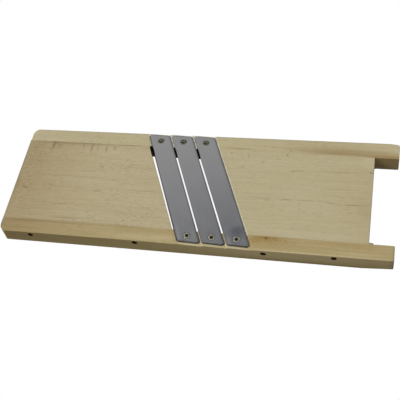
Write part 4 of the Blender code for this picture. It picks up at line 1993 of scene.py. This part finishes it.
@dataclass
class Knives:
    """The three slanted knives, each with its cutting edge to the left."""

    plan: Plan
    corner_radius: float = 0.0033
    corner_steps: int = 8
    bevel_width: float = 0.003
    edge_land: float = 0.0003
    eased_edge: float = 0.00018
    eased_steps: int = 2
    steep_below: float = 0.9
    dimple_depth: float = 0.00016
    dimple_reach: float = 0.0075
    flares: tuple[float, ...] = (0.0008, 0.0002, 0.0001)
    back_flares: tuple[float, ...] = (0.0004, 0.0, 0.0001)
    wastes: tuple[float, ...] = (0.0, 0.0, 0.0007)
    # How strongly each knife's front part is painted darker, as painted shade.
    front_painted_shades: tuple[float, ...] = (0.28, 0.38, 0.48)
    edge_shades: tuple[float, ...] = (0.78, 0.12, 0.12)
    shade_depth: float = 0.1
    seed_step: float = 0.41
    grid: float = 0.002

    def build(self, steels: dict[Steel, Material], screws: KnifeScrews) -> None:
        """Make and dress the knives.

        Args:
            steels: The finishes; the knives take the painted shade of their upright sides and the painted
                shade and highlight of their countersinks.
            screws: The screws whose countersunk holes the knives have.
        """
        edges = (steels[Steel.KNIFE_SIDE_SHADE], steels[Steel.SHADED_COUNTERSINK])
        finishes = [self._finish(index) for index in range(self.plan.knife_count)]
        for index, finish in enumerate(finishes):
            shape = self._shape(index)
            self._shade_sides(shape)
            knife = as_object(f"knife_{index + 1}", shape, (finish, *edges))
            knife.matrix_world = self.plan.knife_place(index)
            holes = [screws.cutter(index, side) for side in Side]
            carve(knife, holes)
            discard(holes)
            self._dimple(knife, index)
            knife.data.transform(knife.matrix_world)
            knife.matrix_world = Matrix.Identity(4)
            smooth(knife)
            install(knife, f"blade_{index + 1}")

    def _shape(self, index: int) -> Shape:
        """Shape a knife, ground to its edge from below.

        Args:
            index: The knife's place in the group, from 0.

        Returns:
            The knife without its holes, lying on its underside.
        """
        plan = self.plan
        half = plan.knife_width / 2
        front, back = (plan.knife_end(side) for side in Side)
        left, right = -half - self.flares[index], half - self.wastes[index]
        places = ((left, front), (right, front), (half, back), (-half - self.back_flares[index], back))
        corners = [(x, plan.seat_y(index, x, y), self.corner_radius) for x, y in places]
        shape = prism(rounded_outline(corners, self.corner_steps), 0, plan.knife_thickness)
        rise = plan.knife_thickness - self.edge_land
        slice_off(shape, Vector((-half, 0, rise)), Vector((-rise, 0, -self.bevel_width)).normalized())
        ground = -half + self.eased_edge

        def eased(first: Vector, second: Vector) -> bool:
            """Pick the top's edges, but not the cutting edge."""
            level = min(first.z, second.z) > rise
            return level and not is_upright(first, second) and max(first.x, second.x) > ground

        round_edges(shape, self.eased_edge, self.eased_steps, eased)
        return shape

    def _smudges(self, index: int) -> tuple[Patch, ...]:
        """Place the marks of use round a knife's front screw.

        Args:
            index: The knife's place in the group, from 0.

        Returns:
            The marks, in the knife's own frame.
        """
        plan = self.plan
        left = -plan.knife_width / 2
        screw = plan.seat_y(index, 0, plan.knife_screw_y(Side.FRONT))
        marks = (
            (
                Patch(0.004, screw + 0.012, 0.010, 0.016, 0.14, Tint.WARM),
                Patch(left + 0.0038, screw + 0.006, 0.0034, 0.020, 0.62, Tint.PALE),
                Patch(left + 0.0040, screw - 0.006, 0.0130, 0.0060, 0.42, lean=-plan.slant),
            ),
            (Patch(0.000, screw + 0.006, 0.009, 0.010, 0.20, Tint.WARM),),
            (
                Patch(0.003, screw + 0.0115, 0.015, 0.0090, 0.52, Tint.WARM, core=0.2),
                Patch(0.005, screw + 0.004, 0.013, 0.013, 0.32, Tint.WARM),
                Patch(left + 0.0038, screw - 0.001, 0.0036, 0.011, 0.85, Tint.PALE, core=0.2),
                Patch(0.006, screw - 0.005, 0.008, 0.005, 0.34, Tint.PALE),
            ),
        )
        return marks[index]

    def _painted_shades(self, index: int) -> tuple[Patch, ...]:
        """Place the painted shade over a knife's front part, along its edges and ends, over its mouth and at
        its front corner.

        Args:
            index: The knife's place in the group, from 0.

        Returns:
            The painted shade, in the knife's own frame.
        """
        plan = self.plan
        half = plan.knife_width / 2
        front, back = (plan.seat_y(index, 0, plan.knife_end(side)) for side in Side)
        corner = plan.seat_y(index, half, plan.knife_end(Side.FRONT))
        mouth = plan.seat_y(index, -half, plan.dark_mouth_y)
        shade_patch = partial(Patch, depth=self.shade_depth)
        return (
            # Painted shade: the front part darker and bluer, as the steel's reflection darkens towards the
            # front.
            shade_patch(0.0, front, 0.06, 0.165, self.front_painted_shades[index], Tint.WARM),
            # Painted shade along the cutting edge and the right edge, where the gap beside each knife shades
            # it, and along the left edge near the ends.
            shade_patch(-half - 0.0006, 0.0, 0.0020, 0.30, self.edge_shades[index], core=0.4),
            shade_patch(half, 0.0, 0.0028, 0.30, 0.52, core=0.15),
            shade_patch(half, front, 0.0050, 0.040, 0.40),
            shade_patch(-half, front + 0.02, 0.0016, 0.05, 0.35),
            shade_patch(-half, back, 0.0016, 0.03, 0.45),
            # Painted shade: the cutting edge near black over the dark mouth.
            shade_patch(-half, mouth, 0.0012, 0.0112, 0.97, Tint.PAINTED_SHADE, core=0.6),
            # Painted shadow along the front and back ends, and at the front right corner.
            shade_patch(0.0, front, 0.05, 0.0021, 0.85, lean=-plan.slant, core=0.35),
            shade_patch(0.0, back, 0.05, 0.0020, 0.45, lean=-plan.slant, core=0.2),
            shade_patch(half - 0.0022, corner + 0.0018, 0.0026, 0.0030, 0.80, core=0.3),
            shade_patch(half - 0.0012, corner + 0.0014, 0.0018, 0.0020, 0.85, Tint.PAINTED_SHADE, core=0.3),
        )

    def _finish(self, index: int) -> Material:
        """Make a knife's own steel.

        Args:
            index: The knife's place in the group, from 0.

        Returns:
            The material.
        """
        steel = GroundSteel(
            name=f"knife_steel_{index + 1}",
            smudges=self._smudges(index),
            painted_shades=self._painted_shades(index),
            seed=index * self.seed_step,
        )
        return steel.build(self.plan.knife_place(index))

    def _shade_sides(self, shape: Shape) -> None:
        """Give a knife's upright faces a dark steel as painted shade, but leave its cutting edge bright.

        Args:
            shape: The knife.
        """
        edge = -self.plan.knife_width / 2 + self.eased_edge
        for face in shape.faces:
            # Painted shade on every upright face but the cutting edge.
            if abs(face.normal.z) < self.steep_below and face.calc_center_median().x > edge:
                face.material_index = Face.FRESH.value

    def _dimple(self, knife: Object, index: int) -> None:
        """Let the screws draw the steel down a little round their heads.

        Args:
            knife: The knife, with its holes.
            index: Its number in the group, from 0.
        """
        plan = self.plan
        half = plan.knife_width / 2
        middles = [plan.seat_y(index, 0, plan.knife_screw_y(side)) for side in Side]
        last_row = int(self.dimple_reach * 2 / self.grid)
        columns = range(1, int(plan.knife_width / self.grid) + 1)
        rows = range(-last_row, last_row + 1)
        shape = bmesh.new()
        shape.from_mesh(knife.data)
        score(shape, Vector((1, 0, 0)), [-half + self.grid * column for column in columns])
        score(shape, Vector((0, 1, 0)), [y + self.grid * row for y in middles for row in rows])
        for vert in shape.verts:
            distance = min(math.hypot(vert.co.x, vert.co.y - y) for y in middles)
            sink = self.dimple_depth * math.exp(-((distance / self.dimple_reach) ** 2))
            vert.co.z -= sink * max(0.0, vert.co.z / plan.knife_thickness)
            vert.co.z -= max(0.0, -half - vert.co.x) * math.tan(plan.tilt)
        shape.to_mesh(knife.data)
        shape.free()


# Studio


@dataclass
class Studio:
    """The camera, the pale floor and backdrop, and the soft light."""

    image_side: float = 400.0
    sensor: float = 36.0
    focal_pixels: float = 720.42
    camera_place: tuple[float, float, float] = (0.23129, -0.46662, 0.78358)
    yaw: float = -0.4576
    pitch: float = 0.9874
    roll: float = -0.3262
    stage_radius: float = 8.0
    floor_sides: int = 96
    backdrop_sides: int = 48
    backdrop_rows: int = 24
    sky_stops: tuple[tuple[float, Colour], ...] = (
        (0.0, (0.12, 0.115, 0.105)),
        (0.16, (0.012, 0.010, 0.008)),
        (0.495, (0.012, 0.010, 0.008)),
        (0.52, (0.62, 0.585, 0.54)),
        (0.78, (0.78, 0.78, 0.775)),
        (0.98, (0.215, 0.22, 0.24)),
        (1.0, (0.20, 0.205, 0.225)),
    )
    key_azimuth: float = math.radians(-104)
    key_height: float = math.radians(50)
    key_breadth: float = math.radians(34)
    key_strength: float = 2.0

    def build(self) -> None:
        """Make the whole studio."""
        bpy.context.scene.view_settings.view_transform = "Standard"
        self._camera()
        self._stage()
        self._sky()
        self._key()

    def _camera(self) -> None:
        """Stand the camera where the photograph was taken from."""
        data = bpy.data.cameras.new("view")
        data.sensor_width = self.sensor
        data.lens = self.sensor * self.focal_pixels / self.image_side
        reach = math.cos(self.pitch)
        ahead = Vector((math.sin(self.yaw) * reach, math.cos(self.yaw) * reach, -math.sin(self.pitch)))
        level = Vector((math.cos(self.yaw), -math.sin(self.yaw), 0))
        above = level.cross(ahead)
        right = level * math.cos(self.roll) + above * math.sin(self.roll)
        up = above * math.cos(self.roll) - level * math.sin(self.roll)
        rotation = Matrix((right, up, -ahead)).transposed().to_4x4()
        place = Matrix.Translation(self.camera_place) @ rotation
        bpy.context.scene.camera = stand("view", data, place)

    def _stage(self) -> None:
        """Make the pale floor and the backdrop, lit evenly so that they cast nothing back."""
        floor = bmesh.new()
        bmesh.ops.create_circle(floor, cap_ends=True, segments=self.floor_sides, radius=self.stage_radius)
        backdrop = bmesh.new()
        rounds = {"u_segments": self.backdrop_sides, "v_segments": self.backdrop_rows}
        bmesh.ops.create_uvsphere(backdrop, radius=self.stage_radius, **rounds)
        for name, shape in (("pale_floor", floor), ("pale_backdrop", backdrop)):
            piece = as_object(name, shape, (self._paper(name + "_paper", shape is floor),))
            piece.visible_diffuse = False
            piece.visible_glossy = False
            piece.visible_transmission = False
            piece.visible_shadow = False

    def _paper(self, name: str, one_sided: bool) -> Material:
        """Make evenly lit white paper.

        Args:
            name: The material's name.
            one_sided: Whether it can be seen through from behind.

        Returns:
            The material.
        """
        graph = Graph(bpy.data.materials.new(name))
        glow = graph.add("Emission")
        graph.feed(glow, Color=(1.0, 1.0, 1.0, 1.0), Strength=1.0)
        surface = glow.outputs[0]
        if one_sided:
            either = graph.add("MixShader")
            behind = graph.add("NewGeometry").outputs["Backfacing"]
            clear = graph.add("BsdfTransparent").outputs[0]
            for socket, value in zip(either.inputs, (behind, surface, clear)):
                graph.put(socket, value)
            surface = either.outputs[0]
        graph.feed(graph.add("OutputMaterial"), Surface=surface)
        return graph.owner

    def _sky(self) -> None:
        """Light the studio evenly from above, less from straight overhead, and a little from below."""
        world = bpy.data.worlds.new("soft_room")
        bpy.context.scene.world = world
        graph = Graph(world)
        height = graph.along(graph.add("TexCoord").outputs["Generated"], "Z")
        ramp = graph.add("ValToRGB")
        # The height runs from -1 to 1, and the ramp from 0 to 1.
        middle = 0.5
        graph.put(ramp.inputs[0], graph.math("MULTIPLY_ADD", height, middle, middle))
        elements = ramp.color_ramp.elements
        while len(elements) < len(self.sky_stops):
            elements.new(middle)
        for element, (place, colour) in zip(elements, self.sky_stops):
            element.position = place
            element.color = (*colour, 1.0)
        glow = graph.add("Background")
        graph.feed(glow, Color=ramp.outputs[0])
        graph.feed(graph.add("OutputWorld"), Surface=glow.outputs[0])

    def _key(self) -> None:
        """Let a broad, even light fall from the board's left."""
        data = bpy.data.lights.new("key", "SUN")
        data.angle = self.key_breadth
        data.energy = self.key_strength
        reach = math.cos(self.key_height)
        across = math.sin(self.key_azimuth) * reach
        along = math.cos(self.key_azimuth) * reach
        source = Vector((across, along, math.sin(self.key_height)))
        stand("key", data, (-source).to_track_quat("-Z", "Y").to_matrix().to_4x4())


def main() -> None:
    """Build the studio and dress every piece of the shredder."""
    logging.basicConfig(level=logging.INFO, format="%(message)s")
    plan = Plan.from_frame()
    Studio().build()
    knife_screws = KnifeScrews(plan)
    bed_screws = BedScrews()
    steels = steel_finishes()
    Woodwork(plan).build(knife_screws, bed_screws)
    Knives(plan).build(steels, knife_screws)
    knife_screws.build(steels)
    bed_screws.build(steels)


if __name__ == "__main__":
    main()
